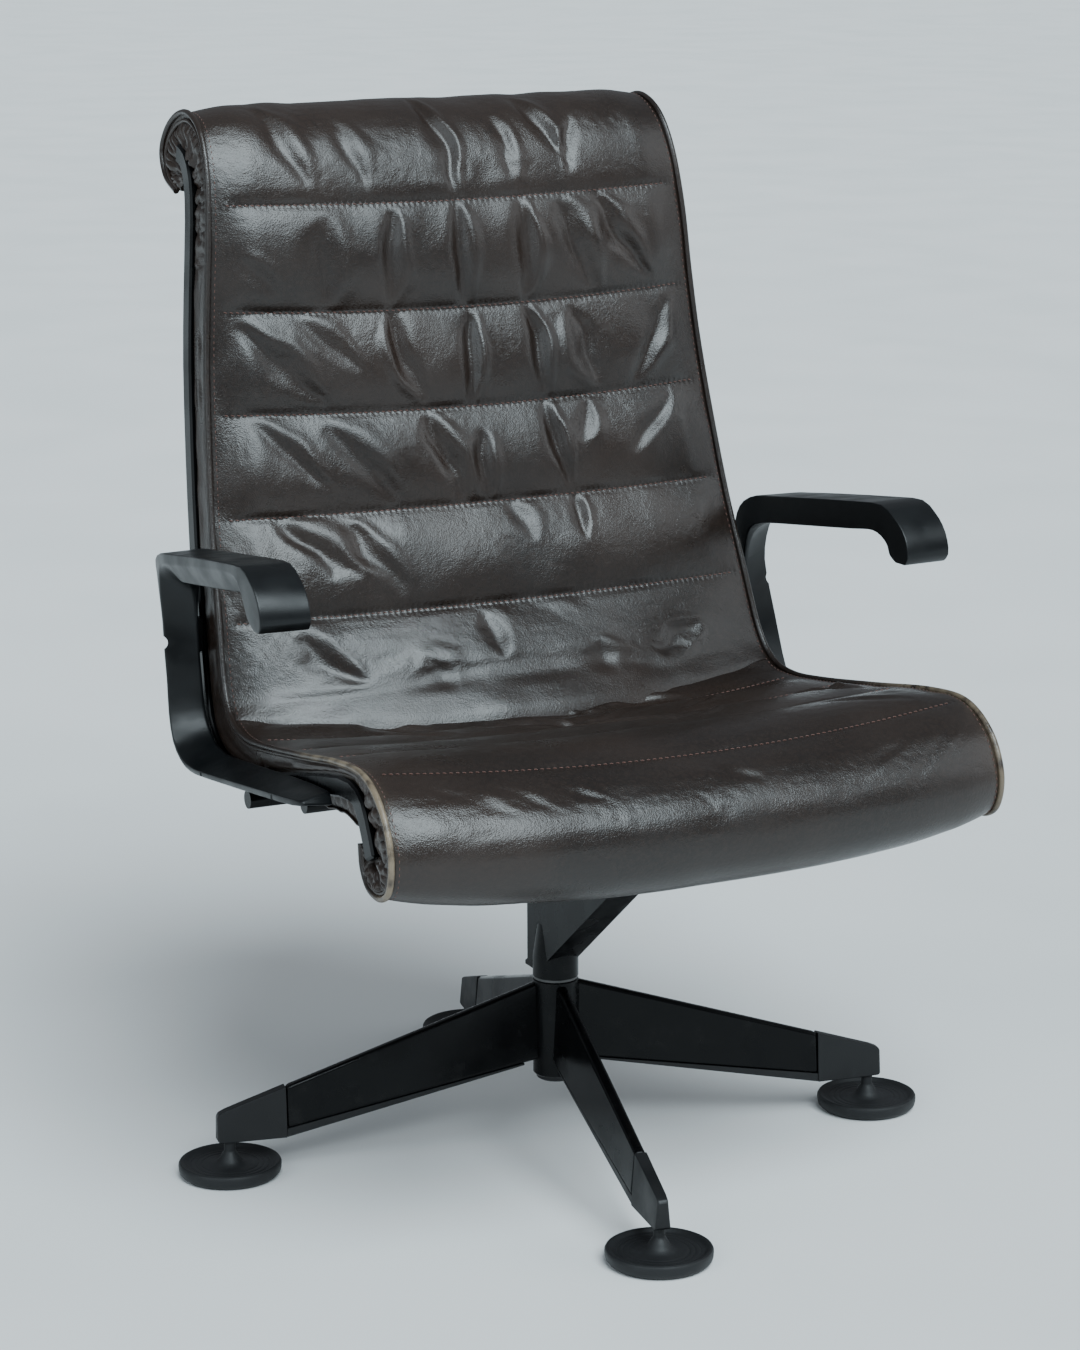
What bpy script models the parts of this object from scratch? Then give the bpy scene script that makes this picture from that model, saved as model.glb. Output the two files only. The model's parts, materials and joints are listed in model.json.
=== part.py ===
"""Swivel lounge chair: padded S-shaped seat on a four-legged swivel base.

Metres, +Z up. The origin is on the floor under the swivel axis. The chair faces -Y.
The seat turns about +Z, tilts back about a cross axle at the front of the mechanism,
and stands on four disc glides that turn in the leg ends.
"""

import math

import bmesh
import bpy
from mathutils import Matrix, Vector

GAP = 0.0003  # running and resting clearance between neighbours
MERGE_DISTANCE = 0.00005

# Base: four blades on a hub
LEG_ANGLES = [math.radians(80.1 + 90.0 * i) for i in range(4)]
HUB_RADIUS = 0.0235
HUB_BORE = 0.0160
HUB_BOTTOM = 0.0735
HUB_TOP = 0.1760
LEG_START = 0.012  # inside the hub wall, before the hub's curve is cut out
LEG_END = 0.285
LEG_HALF_BOTTOM = 0.0095
LEG_HALF_TOP = 0.0055
CAP_END = 0.356
GLIDE_CENTRE = 0.343
GLIDE_RADIUS = 0.052
STEM_RADIUS = 0.0058

# Column and spindle
SPINDLE_RADIUS = 0.0095
COLUMN_BORE = 0.0125
COLUMN_NECK = 0.0145
COLUMN_BOTTOM = 0.1790
COLUMN_TOP = 0.2850

# Tilt mechanism
HOUSING_HALF = 0.0180
HOUSING_WALL = 0.0030
PIVOT_Y = -0.165
PIVOT_Z = 0.375
AXLE_RADIUS = 0.0080
PLATE_SLOPE = math.radians(12.3)  # the support plate rises towards the front
PLATE_HEIGHT = 0.0465  # square distance from the axle to the plate's underside
PLATE_THICK = 0.0040
SPRING_Y = -0.055
SPRING_RADIUS = 0.0105
SPRING_WIRE = 0.0018
SPRING_TURNS = 7
SPRING_LOW = 0.3003
SPRING_HIGH = 0.3905
SPRING_SEAT_THICK = 0.0040

# Seat body
SEAT_HALF = 0.311  # half-width where the seat meets the back
BACK_TAPER = 0.083  # narrowing per metre of height
SEAT_FLARE = 0.0357  # widening per metre towards the front
FOLD_Y = 0.080
FOLD_Z = 0.450
PAD_SIDE = 0.006  # the pads stop this far inside the edge seam
ROLL_SIDE = 0.016
SHELL_SIDE = 0.022
PAD_THICK = 0.030
SHELL_THICK = 0.005
RAIL_HALF = 0.010
RAIL_WIDTH = 0.012
RAIL_PROUD = 0.001  # the rail stands this far outside the seat body
COVER_THICK = 0.002
WELT_INSET = 0.0022
TUBE_RADIUS = 0.0110
CROSSBAR_RADIUS = 0.0093
WELT_RADIUS = 0.0033
TOP_TUBE = (0.330, 1.000)
FRONT_TUBE = (-0.275, 0.414)

# Armrests
ARM_INNER = 0.3145  # inner plane at the rear of the arm
ARM_FLARE = 0.0265
ARM_REAR_Y = 0.150
SPACER_RADIUS = 0.0085

# Side outline of the upholstery seam, (y, z), from the roll behind the head to the front roll
WELT_LINE = [
    (0.330, 0.961), (0.362, 0.974), (0.377, 0.998), (0.365, 1.022), (0.338, 1.038), (0.306, 1.041),
    (0.272, 1.025), (0.248, 0.988), (0.234, 0.930), (0.228, 0.860), (0.219, 0.790), (0.200, 0.705),
    (0.176, 0.620), (0.148, 0.545), (0.126, 0.488), (0.100, 0.459), (0.060, 0.450), (0.000, 0.455),
    (-0.100, 0.470), (-0.200, 0.486), (-0.262, 0.487), (-0.303, 0.464), (-0.322, 0.428),
    (-0.317, 0.396), (-0.296, 0.382), (-0.268, 0.384), (-0.252, 0.400), (-0.248, 0.422),
]
# Centre line of the steel side rail, scroll to scroll
RAIL_LINE = [
    (0.330, 1.000), (0.312, 0.994), (0.296, 0.974), (0.286, 0.935), (0.279, 0.860), (0.270, 0.790),
    (0.250, 0.700), (0.226, 0.612), (0.198, 0.530), (0.174, 0.470), (0.150, 0.430), (0.115, 0.411),
    (0.060, 0.408), (0.000, 0.420), (-0.100, 0.443), (-0.200, 0.464), (-0.240, 0.463),
    (-0.258, 0.446), (-0.275, 0.414),
]
# Armrest band, station by station from the nose to the lower end, as (y, z) points: its outer
# contour on the inner and on the outer side, the ledge on the outer side, and its inner contour;
# then the band's width and the flat part of its inner contour
ARM_STATIONS = [
    ((-0.139, 0.6000), (-0.136, 0.6000), (-0.124, 0.6000), (-0.123, 0.6000), 0.0500, 0.044),
    ((-0.145, 0.6080), (-0.143, 0.6080), (-0.110, 0.6070), (-0.111, 0.6060), 0.0505, 0.043),
    ((-0.143, 0.6220), (-0.141, 0.6220), (-0.102, 0.6150), (-0.107, 0.6140), 0.0505, 0.041),
    ((-0.134, 0.6350), (-0.132, 0.6360), (-0.095, 0.6250), (-0.100, 0.6200), 0.0505, 0.040),
    ((-0.118, 0.6460), (-0.117, 0.6470), (-0.087, 0.6360), (-0.087, 0.6250), 0.0508, 0.039),
    ((-0.094, 0.6550), (-0.094, 0.6560), (-0.075, 0.6435), (-0.070, 0.6255), 0.0510, 0.039),
    ((-0.050, 0.6515), (-0.050, 0.6520), (-0.045, 0.6430), (-0.040, 0.6210), 0.0512, 0.039),
    ((0.056, 0.6380), (0.056, 0.6385), (0.055, 0.6290), (0.055, 0.6085), 0.0490, 0.039),
    ((0.115, 0.6300), (0.115, 0.6300), (0.113, 0.6200), (0.112, 0.6010), 0.0490, 0.037),
    ((0.151, 0.6250), (0.150, 0.6245), (0.142, 0.6150), (0.138, 0.5970), 0.0475, 0.028),
    ((0.176, 0.6155), (0.174, 0.6145), (0.163, 0.6060), (0.156, 0.5910), 0.0440, 0.016),
    ((0.190, 0.6000), (0.186, 0.5990), (0.177, 0.5940), (0.166, 0.5810), 0.0390, 0.008),
    ((0.196, 0.5750), (0.190, 0.5740), (0.184, 0.5720), (0.171, 0.5620), 0.0355, 0.004),
    ((0.197, 0.5450), (0.189, 0.5470), (0.184, 0.5470), (0.172, 0.5420), 0.0335, 0.004),
    ((0.194, 0.5150), (0.181, 0.5180), (0.177, 0.5190), (0.169, 0.5140), 0.0350, 0.004),
    ((0.188, 0.4850), (0.171, 0.4880), (0.167, 0.4900), (0.164, 0.4880), 0.0365, 0.004),
    ((0.179, 0.4550), (0.162, 0.4570), (0.158, 0.4600), (0.158, 0.4620), 0.0385, 0.004),
    ((0.165, 0.4290), (0.150, 0.4310), (0.147, 0.4350), (0.148, 0.4460), 0.0390, 0.004),
    ((0.142, 0.4110), (0.131, 0.4160), (0.129, 0.4200), (0.132, 0.4340), 0.0380, 0.004),
    ((0.110, 0.4040), (0.106, 0.4105), (0.105, 0.4155), (0.106, 0.4280), 0.0370, 0.004),
    ((0.060, 0.4080), (0.060, 0.4145), (0.060, 0.4195), (0.062, 0.4300), 0.0370, 0.004),
    ((-0.100, 0.4300), (-0.100, 0.4350), (-0.100, 0.4410), (-0.100, 0.4495), 0.0370, 0.004),
    ((-0.175, 0.4410), (-0.175, 0.4450), (-0.175, 0.4510), (-0.172, 0.4560), 0.0360, 0.004),
    ((-0.192, 0.4450), (-0.193, 0.4480), (-0.192, 0.4520), (-0.186, 0.4550), 0.0300, 0.004),
]
# Saddle-cut notches at the outer edge: station place (y, z), radius and cutting direction
ARM_NOTCHES = [(0.182, 0.5260, 0.0068, (0.55, -0.83, 0.0)), (0.072, 0.4130, 0.0030, (0.4, 0.0, 0.9)),
               (-0.127, 0.4385, 0.0030, (0.4, 0.0, 0.9))]

MATERIALS = {
    "black_steel": ((0.012, 0.012, 0.014), 0.22, 0.9),
    "leg_plastic": ((0.020, 0.020, 0.022), 0.55, 0.0),
    "glide_plastic": ((0.024, 0.024, 0.026), 0.60, 0.0),
    "bright_steel": ((0.55, 0.55, 0.56), 0.30, 1.0),
    "nylon": ((0.75, 0.74, 0.68), 0.50, 0.0),
    "spring_steel": ((0.20, 0.20, 0.21), 0.35, 1.0),
    "rubber": ((0.02, 0.02, 0.02), 0.80, 0.0),
    "plywood": ((0.45, 0.30, 0.17), 0.60, 0.0),
    "leather": ((0.045, 0.024, 0.019), 0.35, 0.0),
    "arm_skin": ((0.016, 0.017, 0.021), 0.50, 0.0),
}


def clear_scene():
    for item in list(bpy.data.objects):
        bpy.data.objects.remove(item, do_unlink=True)


def make_collection(name):
    group = bpy.data.collections.new(name)
    bpy.context.scene.collection.children.link(group)
    return group


clear_scene()
PARTS = make_collection("swivel_chair")
CUTTERS = make_collection("cutters")


def make_material(name, colour, roughness, metallic):
    mat = bpy.data.materials.new(name)
    mat.use_nodes = True
    shader = mat.node_tree.nodes["Principled BSDF"]
    shader.inputs["Base Color"].default_value = (*colour, 1.0)
    shader.inputs["Roughness"].default_value = roughness
    shader.inputs["Metallic"].default_value = metallic
    return mat


LOOKS = {name: make_material(name, *values) for name, values in MATERIALS.items()}


def add_part(name, mesh, look, parent=None):
    """Links a mesh as a named part, shaded smooth with its real edges kept sharp."""
    mesh.materials.clear()
    mesh.materials.append(LOOKS[look])
    mesh.shade_smooth()
    mesh.set_sharp_from_angle(angle=math.radians(35))
    part = bpy.data.objects.new(name, mesh)
    PARTS.objects.link(part)
    part.parent = parent
    return part


def add_empty(name, location, parent=None):
    """An axis marker: the pieces of a moving body hang on it."""
    empty = bpy.data.objects.new(name, None)
    empty.location = location
    PARTS.objects.link(empty)
    empty.parent = parent
    return empty


def mesh_from(name, build):
    mesh = bpy.data.meshes.new(name)
    work = bmesh.new()
    build(work)
    bmesh.ops.recalc_face_normals(work, faces=work.faces)
    work.to_mesh(mesh)
    work.free()
    return mesh


def curve_mesh(name, curve, turn=None):
    """Evaluates a curve to a welded mesh and removes the curve."""
    source = bpy.data.objects.new(name, curve)
    bpy.context.scene.collection.objects.link(source)
    if turn is not None:
        source.rotation_euler = turn
    bpy.context.view_layer.update()
    evaluated = source.evaluated_get(bpy.context.evaluated_depsgraph_get())
    mesh = bpy.data.meshes.new_from_object(evaluated)
    mesh.transform(source.matrix_world)
    work = bmesh.new()
    work.from_mesh(mesh)
    bmesh.ops.remove_doubles(work, verts=work.verts, dist=0.00002)
    bmesh.ops.recalc_face_normals(work, faces=work.faces)
    work.to_mesh(mesh)
    work.free()
    bpy.data.objects.remove(source, do_unlink=True)
    bpy.data.curves.remove(curve)
    mesh.name = name
    return mesh


def flat_outline(name, points, thickness, turn):
    """A closed outline, extruded to a plate whose middle plane passes the origin."""
    curve = bpy.data.curves.new(name, "CURVE")
    curve.dimensions = "2D"
    curve.fill_mode = "BOTH"
    curve.extrude = thickness / 2
    spline = curve.splines.new("POLY")
    spline.points.add(len(points) - 1)
    for point, (across, up) in zip(spline.points, points):
        point.co = (across, up, 0, 1)
    spline.use_cyclic_u = True
    return curve_mesh(name, curve, turn)


def side_plate(name, points, x_low, x_high):
    """An outline in the Y-Z plane, extruded from x_low to x_high."""
    mesh = flat_outline(name, points, x_high - x_low, (math.pi / 2, 0, math.pi / 2))
    mesh.transform(Matrix.Translation(((x_low + x_high) / 2, 0, 0)))
    return mesh


def tube_mesh(name, points, radius, sides_resolution=2):
    curve = bpy.data.curves.new(name, "CURVE")
    curve.dimensions = "3D"
    curve.bevel_depth = radius
    curve.bevel_resolution = sides_resolution
    curve.use_fill_caps = True
    spline = curve.splines.new("POLY")
    spline.points.add(len(points) - 1)
    for point, place in zip(spline.points, points):
        point.co = (*place, 1)
    return curve_mesh(name, curve)


def cross_tube(name, y, z, half_length, radius):
    return tube_mesh(name, [(-half_length, y, z), (half_length, y, z)], radius, 6)


def profile_mesh(name, profile, closed):
    mesh = bpy.data.meshes.new(name)
    links = [(i, i + 1) for i in range(len(profile) - 1)]
    if closed:
        links.append((len(profile) - 1, 0))
    mesh.from_pydata([(radius, 0, height) for radius, height in profile], links, [])
    return mesh


def turn_about_z(item, steps):
    screw = item.modifiers.new("turn", "SCREW")
    screw.steps = steps
    screw.render_steps = steps
    screw.use_merge_vertices = True
    screw.merge_threshold = MERGE_DISTANCE
    screw.use_smooth_shade = True


def turned_part(name, profile, look, parent=None, location=(0, 0, 0), closed=False, steps=24):
    """Turns (radius, height) points about Z. A closed profile makes a ring."""
    part = add_part(name, profile_mesh(name, profile, closed), look, parent)
    part.location = location
    turn_about_z(part, steps)
    return part


def cylinder_cutter(name, radius, length, centre, along_x=True):
    turn = Matrix.Rotation(math.pi / 2, 4, "Y") if along_x else Matrix.Identity(4)
    mesh = mesh_from(name, lambda work: bmesh.ops.create_cone(
        work, cap_ends=True, segments=32, radius1=radius, radius2=radius, depth=length,
        matrix=Matrix.Translation(centre) @ turn))
    return cutter(name, mesh)


def cutter(name, mesh):
    tool = bpy.data.objects.new(name, mesh)
    CUTTERS.objects.link(tool)
    tool.hide_render = True
    tool.display_type = "WIRE"
    return tool


def turned_cutter(name, profile, steps=24):
    tool = cutter(name, profile_mesh(name, profile, closed=False))
    turn_about_z(tool, steps)
    return tool


def cut(part, tool):
    boolean = part.modifiers.new("cut", "BOOLEAN")
    boolean.operation = "DIFFERENCE"
    boolean.solver = "EXACT"
    boolean.object = tool


def round_edges(part, width, segments=2, angle=30):
    bevel = part.modifiers.new("round", "BEVEL")
    bevel.width = width
    bevel.segments = segments
    bevel.limit_method = "ANGLE"
    bevel.angle_limit = math.radians(angle)


def smooth_line(points, steps=3):
    """A Catmull-Rom curve through the points, with steps pieces to each span."""
    ends = [Vector(p) for p in points]
    ends = [2 * ends[0] - ends[1]] + ends + [2 * ends[-1] - ends[-2]]
    line = []
    for a, b, c, d in zip(ends, ends[1:], ends[2:], ends[3:]):
        for k in range(steps):
            t = k / steps
            line.append(0.5 * (2 * b + (c - a) * t + (2 * a - 5 * b + 4 * c - d) * t * t
                               + (3 * b - a - 3 * c + d) * t ** 3))
    line.append(ends[-2].copy())
    return line


def rear_normals(line):
    """Unit normals of a (y, z) line that point behind the back and under the seat."""
    normals = []
    for i in range(len(line)):
        along = (line[min(i + 1, len(line) - 1)] - line[max(i - 1, 0)]).normalized()
        normals.append(Vector((-along[1], along[0])))
    return normals


def half_width(y, z):
    """Half-width of the seat body at a place on its side outline."""
    if y > FOLD_Y:
        return SEAT_HALF - BACK_TAPER * max(0.0, z - FOLD_Z)
    return SEAT_HALF + SEAT_FLARE * (FOLD_Y - y)


def arm_inner(y):
    return ARM_INNER + ARM_FLARE * (ARM_REAR_Y - y)


def loft_mesh(name, sections):
    """Joins equal rings of points, end to end, and closes both ends."""
    def build(work):
        rings = [[work.verts.new(point) for point in section] for section in sections]
        for low, high in zip(rings, rings[1:]):
            for i in range(len(low)):
                j = (i + 1) % len(low)
                work.faces.new((low[i], low[j], high[j], high[i]))
        work.faces.new(rings[0])
        work.faces.new(reversed(rings[-1]))
    return mesh_from(name, build)


def layer_mesh(name, line, near, far, edges):
    """A layer that follows a (y, z) line, between two depths; edges(y, z) gives its x range."""
    sections = []
    for place, normal in zip(line, rear_normals(line)):
        x_low, x_high = edges(place[0], place[1])
        front = place + near * normal
        back = place + far * normal
        sections.append([(x_low, *front), (x_high, *front), (x_high, *back), (x_low, *back)])
    return loft_mesh(name, sections)


def inset_by(side):
    """The x range of a middle layer that stops short of the edge seams."""
    return lambda y, z: (-half_width(y, z) + side, half_width(y, z) - side)


def stretch_of(line, test):
    return [point for point in line if test(point)]


# ---------------------------------------------------------------- base

def leg_top(reach):
    return 0.172 - (reach - 0.024) * (0.172 - 0.088) / (LEG_END - 0.024)


def leg_bottom(reach):
    return 0.089 - (reach - 0.036) * (0.089 - 0.045) / (LEG_END - 0.036)


def strip_bottom(reach):
    return 0.087 - (reach - 0.036) * (0.087 - 0.036) / (LEG_END - 0.036)


def blade_section(reach, low, high, half_low, half_high):
    return [(reach, -half_low, low), (reach, half_low, low), (reach, half_high, high),
            (reach, -half_high, high)]


def make_leg(number, hub_axis):
    sections = [blade_section(reach, leg_bottom(reach), leg_top(reach), LEG_HALF_BOTTOM, LEG_HALF_TOP)
                for reach in (LEG_START, LEG_END - GAP)]
    leg = add_part(f"leg_{number}", loft_mesh("leg", sections), "black_steel", hub_axis)
    round_edges(leg, 0.0035, 3, 20)
    hub_cut = cylinder_cutter(f"hub_cut_{number}", HUB_RADIUS + GAP, 0.4, (0, 0, 0.15), along_x=False)
    cut(leg, hub_cut)
    return leg


def make_leg_strip(number, hub_axis):
    half = LEG_HALF_BOTTOM - 0.0008
    sections = [blade_section(reach, strip_bottom(reach), leg_bottom(reach) - GAP, half, half)
                for reach in (0.036, LEG_END - GAP)]
    return add_part(f"leg_strip_{number}", loft_mesh("strip", sections), "leg_plastic", hub_axis)


def make_leg_end_cap(number, hub_axis):
    sections = [
        blade_section(LEG_END, 0.0355, 0.0885, 0.0100, 0.0062),
        blade_section(0.346, 0.0355, 0.0690, 0.0084, 0.0056),
        blade_section(CAP_END - 0.002, 0.0358, 0.0655, 0.0080, 0.0052),
        blade_section(CAP_END, 0.0375, 0.0620, 0.0066, 0.0042),
    ]
    cap = add_part(f"leg_end_cap_{number}", loft_mesh("cap", sections), "leg_plastic", hub_axis)
    round_edges(cap, 0.0022, 2, 28)
    socket = cylinder_cutter(f"socket_cut_{number}", STEM_RADIUS + GAP, 0.06,
                             (GLIDE_CENTRE, 0, 0.0285), along_x=False)
    socket.parent = hub_axis
    cut(cap, socket)
    return cap


def make_glide(number, angle):
    """Disc foot with a raised rim, a coned boss and a stem that turns in the end cap."""
    place = (GLIDE_CENTRE * math.cos(angle), GLIDE_CENTRE * math.sin(angle), 0)
    profile = [
        (0, 0.0560), (STEM_RADIUS, 0.0560), (STEM_RADIUS, 0.0250), (0.0085, 0.0225), (0.0120, 0.0160),
        (0.0190, 0.0118), (0.0430, 0.0112), (0.0465, 0.0140), (0.0495, 0.0152), (GLIDE_RADIUS, 0.0120),
        (GLIDE_RADIUS - 0.001, 0.0050), (0.0460, 0), (0, 0),
    ]
    return turned_part(f"glide_{number}", profile, "glide_plastic", location=place, steps=28)


def make_base():
    turned_part("base_hub", [(HUB_RADIUS - 0.001, HUB_TOP), (HUB_RADIUS, HUB_TOP - 0.001),
                             (HUB_RADIUS, HUB_BOTTOM + 0.002), (HUB_RADIUS - 0.002, HUB_BOTTOM),
                             (HUB_BORE, HUB_BOTTOM), (HUB_BORE, HUB_TOP)], "black_steel", closed=True,
                steps=36)
    turned_part("hub_plug", [(0, 0.0775), (0.0155, 0.0775), (0.0155, 0.0732), (0.0205, 0.0732),
                             (0.0200, 0.0700), (0.0185, 0.0690), (0, 0.0690)], "leg_plastic")
    turned_part("spindle", [(0, 0.2750), (SPINDLE_RADIUS - 0.001, 0.2750), (SPINDLE_RADIUS, 0.2740),
                            (SPINDLE_RADIUS, 0.1715), (HUB_BORE - GAP, 0.1705),
                            (HUB_BORE - GAP, 0.0785), (0, 0.0785)], "bright_steel")
    turned_part("thrust_washer", [(0.0228, 0.1787), (0.0228, 0.1763), (0.0102, 0.1763),
                                  (0.0102, 0.1787)], "nylon", closed=True)
    for number, angle in enumerate(LEG_ANGLES, 1):
        hub_axis = add_empty(f"leg_axis_{number}", (0, 0, 0))
        hub_axis.rotation_euler = (0, 0, angle)
        make_leg(number, hub_axis)
        make_leg_strip(number, hub_axis)
        make_leg_end_cap(number, hub_axis)
        make_glide(number, angle)


# ---------------------------------------------------------------- swivel column and mechanism

def column_profile(grow):
    """Outer side of the column: sleeve, cone and the neck inside the housing."""
    return [(COLUMN_NECK + grow, COLUMN_TOP + grow), (COLUMN_NECK + grow, 0.2370),
            (0.0185 + grow, 0.2350), (HUB_RADIUS + grow, 0.2000), (HUB_RADIUS + grow, COLUMN_BOTTOM)]


def make_column(swivel_axis):
    bore = [(COLUMN_BORE, COLUMN_BOTTOM), (COLUMN_BORE, COLUMN_TOP)]
    turned_part("upper_column", column_profile(0) + bore, "black_steel", swivel_axis, closed=True, steps=36)
    for name, low in (("column_bush_lower", 0.181), ("column_bush_upper", 0.249)):
        outer = COLUMN_BORE - GAP
        inner = SPINDLE_RADIUS + GAP
        ring = [(outer, low + 0.025), (outer, low), (inner, low), (inner, low + 0.025)]
        turned_part(name, ring, "nylon", swivel_axis, closed=True)


def make_housing(swivel_axis):
    """Narrow wedge-shaped channel, open at the top, that the column's cone runs into."""
    outline = [(0.034, 0.183), (0.034, 0.187), (0.029, 0.190), (0.029, 0.315), (-0.020, 0.335),
               (-0.100, 0.375), (-0.140, 0.393), (-0.165, 0.396), (-0.188, 0.393), (-0.207, 0.382),
               (-0.214, 0.352), (0.005, 0.183)]
    hollow = [(0.026, 0.1868), (0.026, 0.450), (-0.250, 0.450), (-0.250, 0.3837), (0.0045, 0.1868)]
    mesh = side_plate("mechanism_housing", outline, -HOUSING_HALF, HOUSING_HALF)
    housing = add_part("mechanism_housing", mesh, "black_steel", swivel_axis)
    inside = HOUSING_HALF - HOUSING_WALL
    cut(housing, cutter("housing_hollow", side_plate("housing_hollow", hollow, -inside, inside)))
    below_column = 0.150
    cut(housing, turned_cutter("column_cut", [(0, COLUMN_TOP + GAP)] + column_profile(GAP)
                               + [(HUB_RADIUS + GAP, below_column), (0, below_column)]))
    bore = cylinder_cutter("pivot_bore", 0.0105, 0.1, (0, PIVOT_Y, PIVOT_Z))
    cut(housing, bore)


def make_pivot_bushes(swivel_axis):
    """Flanged nylon bushes in the two cheeks; the axle turns in them."""
    for name, side in (("pivot_bush_left", -1), ("pivot_bush_right", 1)):
        ring = [(0.0102, 0.0040), (0.0102, 0), (AXLE_RADIUS + GAP, 0), (AXLE_RADIUS + GAP, 0.0040)]
        bush = turned_part(name, ring, "nylon", swivel_axis, closed=True)
        inner_face = HOUSING_HALF - HOUSING_WALL - 0.0005
        bush.location = (side * inner_face, PIVOT_Y, PIVOT_Z)
        bush.rotation_euler = (0, side * math.pi / 2, 0)


def make_spring(swivel_axis):
    """Compression coil with closed ends, between a seat in the housing and a cup under the plate."""
    low = SPRING_LOW + SPRING_WIRE
    high = SPRING_HIGH - SPRING_WIRE
    per_turn = 10
    count = SPRING_TURNS * per_turn
    end_rise = 2.1 * SPRING_WIRE  # a closed end turn climbs by a little more than the wire
    coil = []
    for i in range(count + 1):
        angle = 2 * math.pi * i / per_turn
        first_turn = min(1.0, i / per_turn)
        last_turn = max(0.0, (i - count + per_turn) / per_turn)
        part_way = min(1.0, max(0.0, (i - per_turn) / (count - 2 * per_turn)))
        height = low + end_rise * (first_turn + last_turn) + part_way * (high - low - 2 * end_rise)
        coil.append((SPRING_RADIUS * math.cos(angle), SPRING_Y + SPRING_RADIUS * math.sin(angle), height))
    add_part("tilt_spring", tube_mesh("tilt_spring", coil, SPRING_WIRE, 1), "spring_steel", swivel_axis)
    top = SPRING_LOW - GAP
    bottom = top - SPRING_SEAT_THICK
    seat = [(SPRING_Y - 0.020, bottom), (SPRING_Y + 0.020, bottom), (SPRING_Y + 0.020, top),
            (SPRING_Y - 0.020, top)]
    inside = HOUSING_HALF - HOUSING_WALL - GAP
    add_part("spring_seat", side_plate("spring_seat", seat, -inside, inside), "bright_steel", swivel_axis)
    stop = [(0.005, 0.3000), (0.025, 0.3000), (0.025, 0.3300), (0.019, 0.3360), (0.009, 0.3360),
            (0.005, 0.3320)]
    add_part("rubber_stop", side_plate("rubber_stop", stop, -0.012, 0.012), "rubber", swivel_axis)


def make_tilt_frame(tilt_axis):
    """Axle, U-bracket, sloped support plate and the cup that holds the spring's top."""
    axle = add_part("tilt_axle", cross_tube("tilt_axle", 0, 0, 0.0290, AXLE_RADIUS), "bright_steel",
                    tilt_axis)
    round_edges(axle, 0.0008, 1, 60)
    inner = HOUSING_HALF + 0.0015
    outer = inner + PLATE_THICK
    top = PLATE_HEIGHT - GAP
    flange = top - PLATE_THICK
    foot = -0.0130
    channel = [(-outer, foot), (-inner, foot), (-inner, flange), (inner, flange), (inner, foot),
               (outer, foot), (outer, top), (-outer, top)]
    mesh = flat_outline("tilt_bracket", channel, 0.036, (math.pi / 2, 0, 0))
    bracket = add_part("tilt_bracket", mesh, "black_steel", tilt_axis)
    axle_bore = cylinder_cutter("axle_bore", AXLE_RADIUS + GAP, 0.1, (0, 0, 0))
    axle_bore.parent = tilt_axis
    cut(bracket, axle_bore)
    plate = [(-0.040, PLATE_HEIGHT), (0.255, PLATE_HEIGHT), (0.255, PLATE_HEIGHT + PLATE_THICK),
             (-0.040, PLATE_HEIGHT + PLATE_THICK)]
    support = add_part("support_plate", side_plate("support_plate", plate, -0.060, 0.060),
                       "black_steel", tilt_axis)
    round_edges(support, 0.0010, 1)
    spring_reach = (SPRING_Y - PIVOT_Y) / math.cos(PLATE_SLOPE) - 0.004
    turned_part("spring_cup", [(0, PLATE_HEIGHT - GAP), (0.0135, PLATE_HEIGHT - GAP),
                               (0.0135, PLATE_HEIGHT - 0.004), (0, PLATE_HEIGHT - 0.004)],
                "nylon", tilt_axis, location=(0, spring_reach, 0), steps=24)


# ---------------------------------------------------------------- seat body

def plate_top(y):
    """Height of the support plate's upper face in the middle of the seat."""
    rise = (PLATE_HEIGHT + PLATE_THICK) / math.cos(PLATE_SLOPE)
    return PIVOT_Z + rise - (y - PIVOT_Y) * math.tan(PLATE_SLOPE)


def make_crossbars():
    """Round bars from rail to rail: they lie on the plate and run under both rails."""
    for name, y in (("crossbar_front", -0.100), ("crossbar_rear", 0.060)):
        height = plate_top(y) + CROSSBAR_RADIUS / math.cos(PLATE_SLOPE) + GAP
        reach = half_width(y, 0) - 0.002
        add_part(name, cross_tube(name, y, height, reach, CROSSBAR_RADIUS), "black_steel")


def make_rails():
    line = smooth_line(RAIL_LINE, 2)
    for name, side in (("side_rail_left", -1), ("side_rail_right", 1)):
        def edges(y, z, side=side):
            outer = half_width(y, z) + RAIL_PROUD
            return tuple(sorted((side * outer, side * (outer - RAIL_WIDTH))))
        rail = add_part(name, layer_mesh(name, line, -RAIL_HALF, RAIL_HALF, edges), "black_steel")
        round_edges(rail, 0.0022, 1, 40)


def make_roll_tubes():
    for name, (y, z) in (("top_tube", TOP_TUBE), ("front_tube", FRONT_TUBE)):
        reach = half_width(y, z) + RAIL_PROUD - RAIL_WIDTH - GAP
        add_part(name, cross_tube(name, y, z, reach, TUBE_RADIUS), "black_steel")


def make_roll(name, outline, centre):
    """Padded roll around a cross tube; it narrows with the seat body."""
    sections = []
    for side in (-1, 1):
        sections.append([(side * (half_width(y, z) - ROLL_SIDE), y, z) for y, z in outline])
    roll = add_part(name, loft_mesh(name, sections), "leather")
    cut(roll, cylinder_cutter(f"{name}_bore", TUBE_RADIUS + GAP * 2, 0.8, (0, *centre)))


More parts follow.
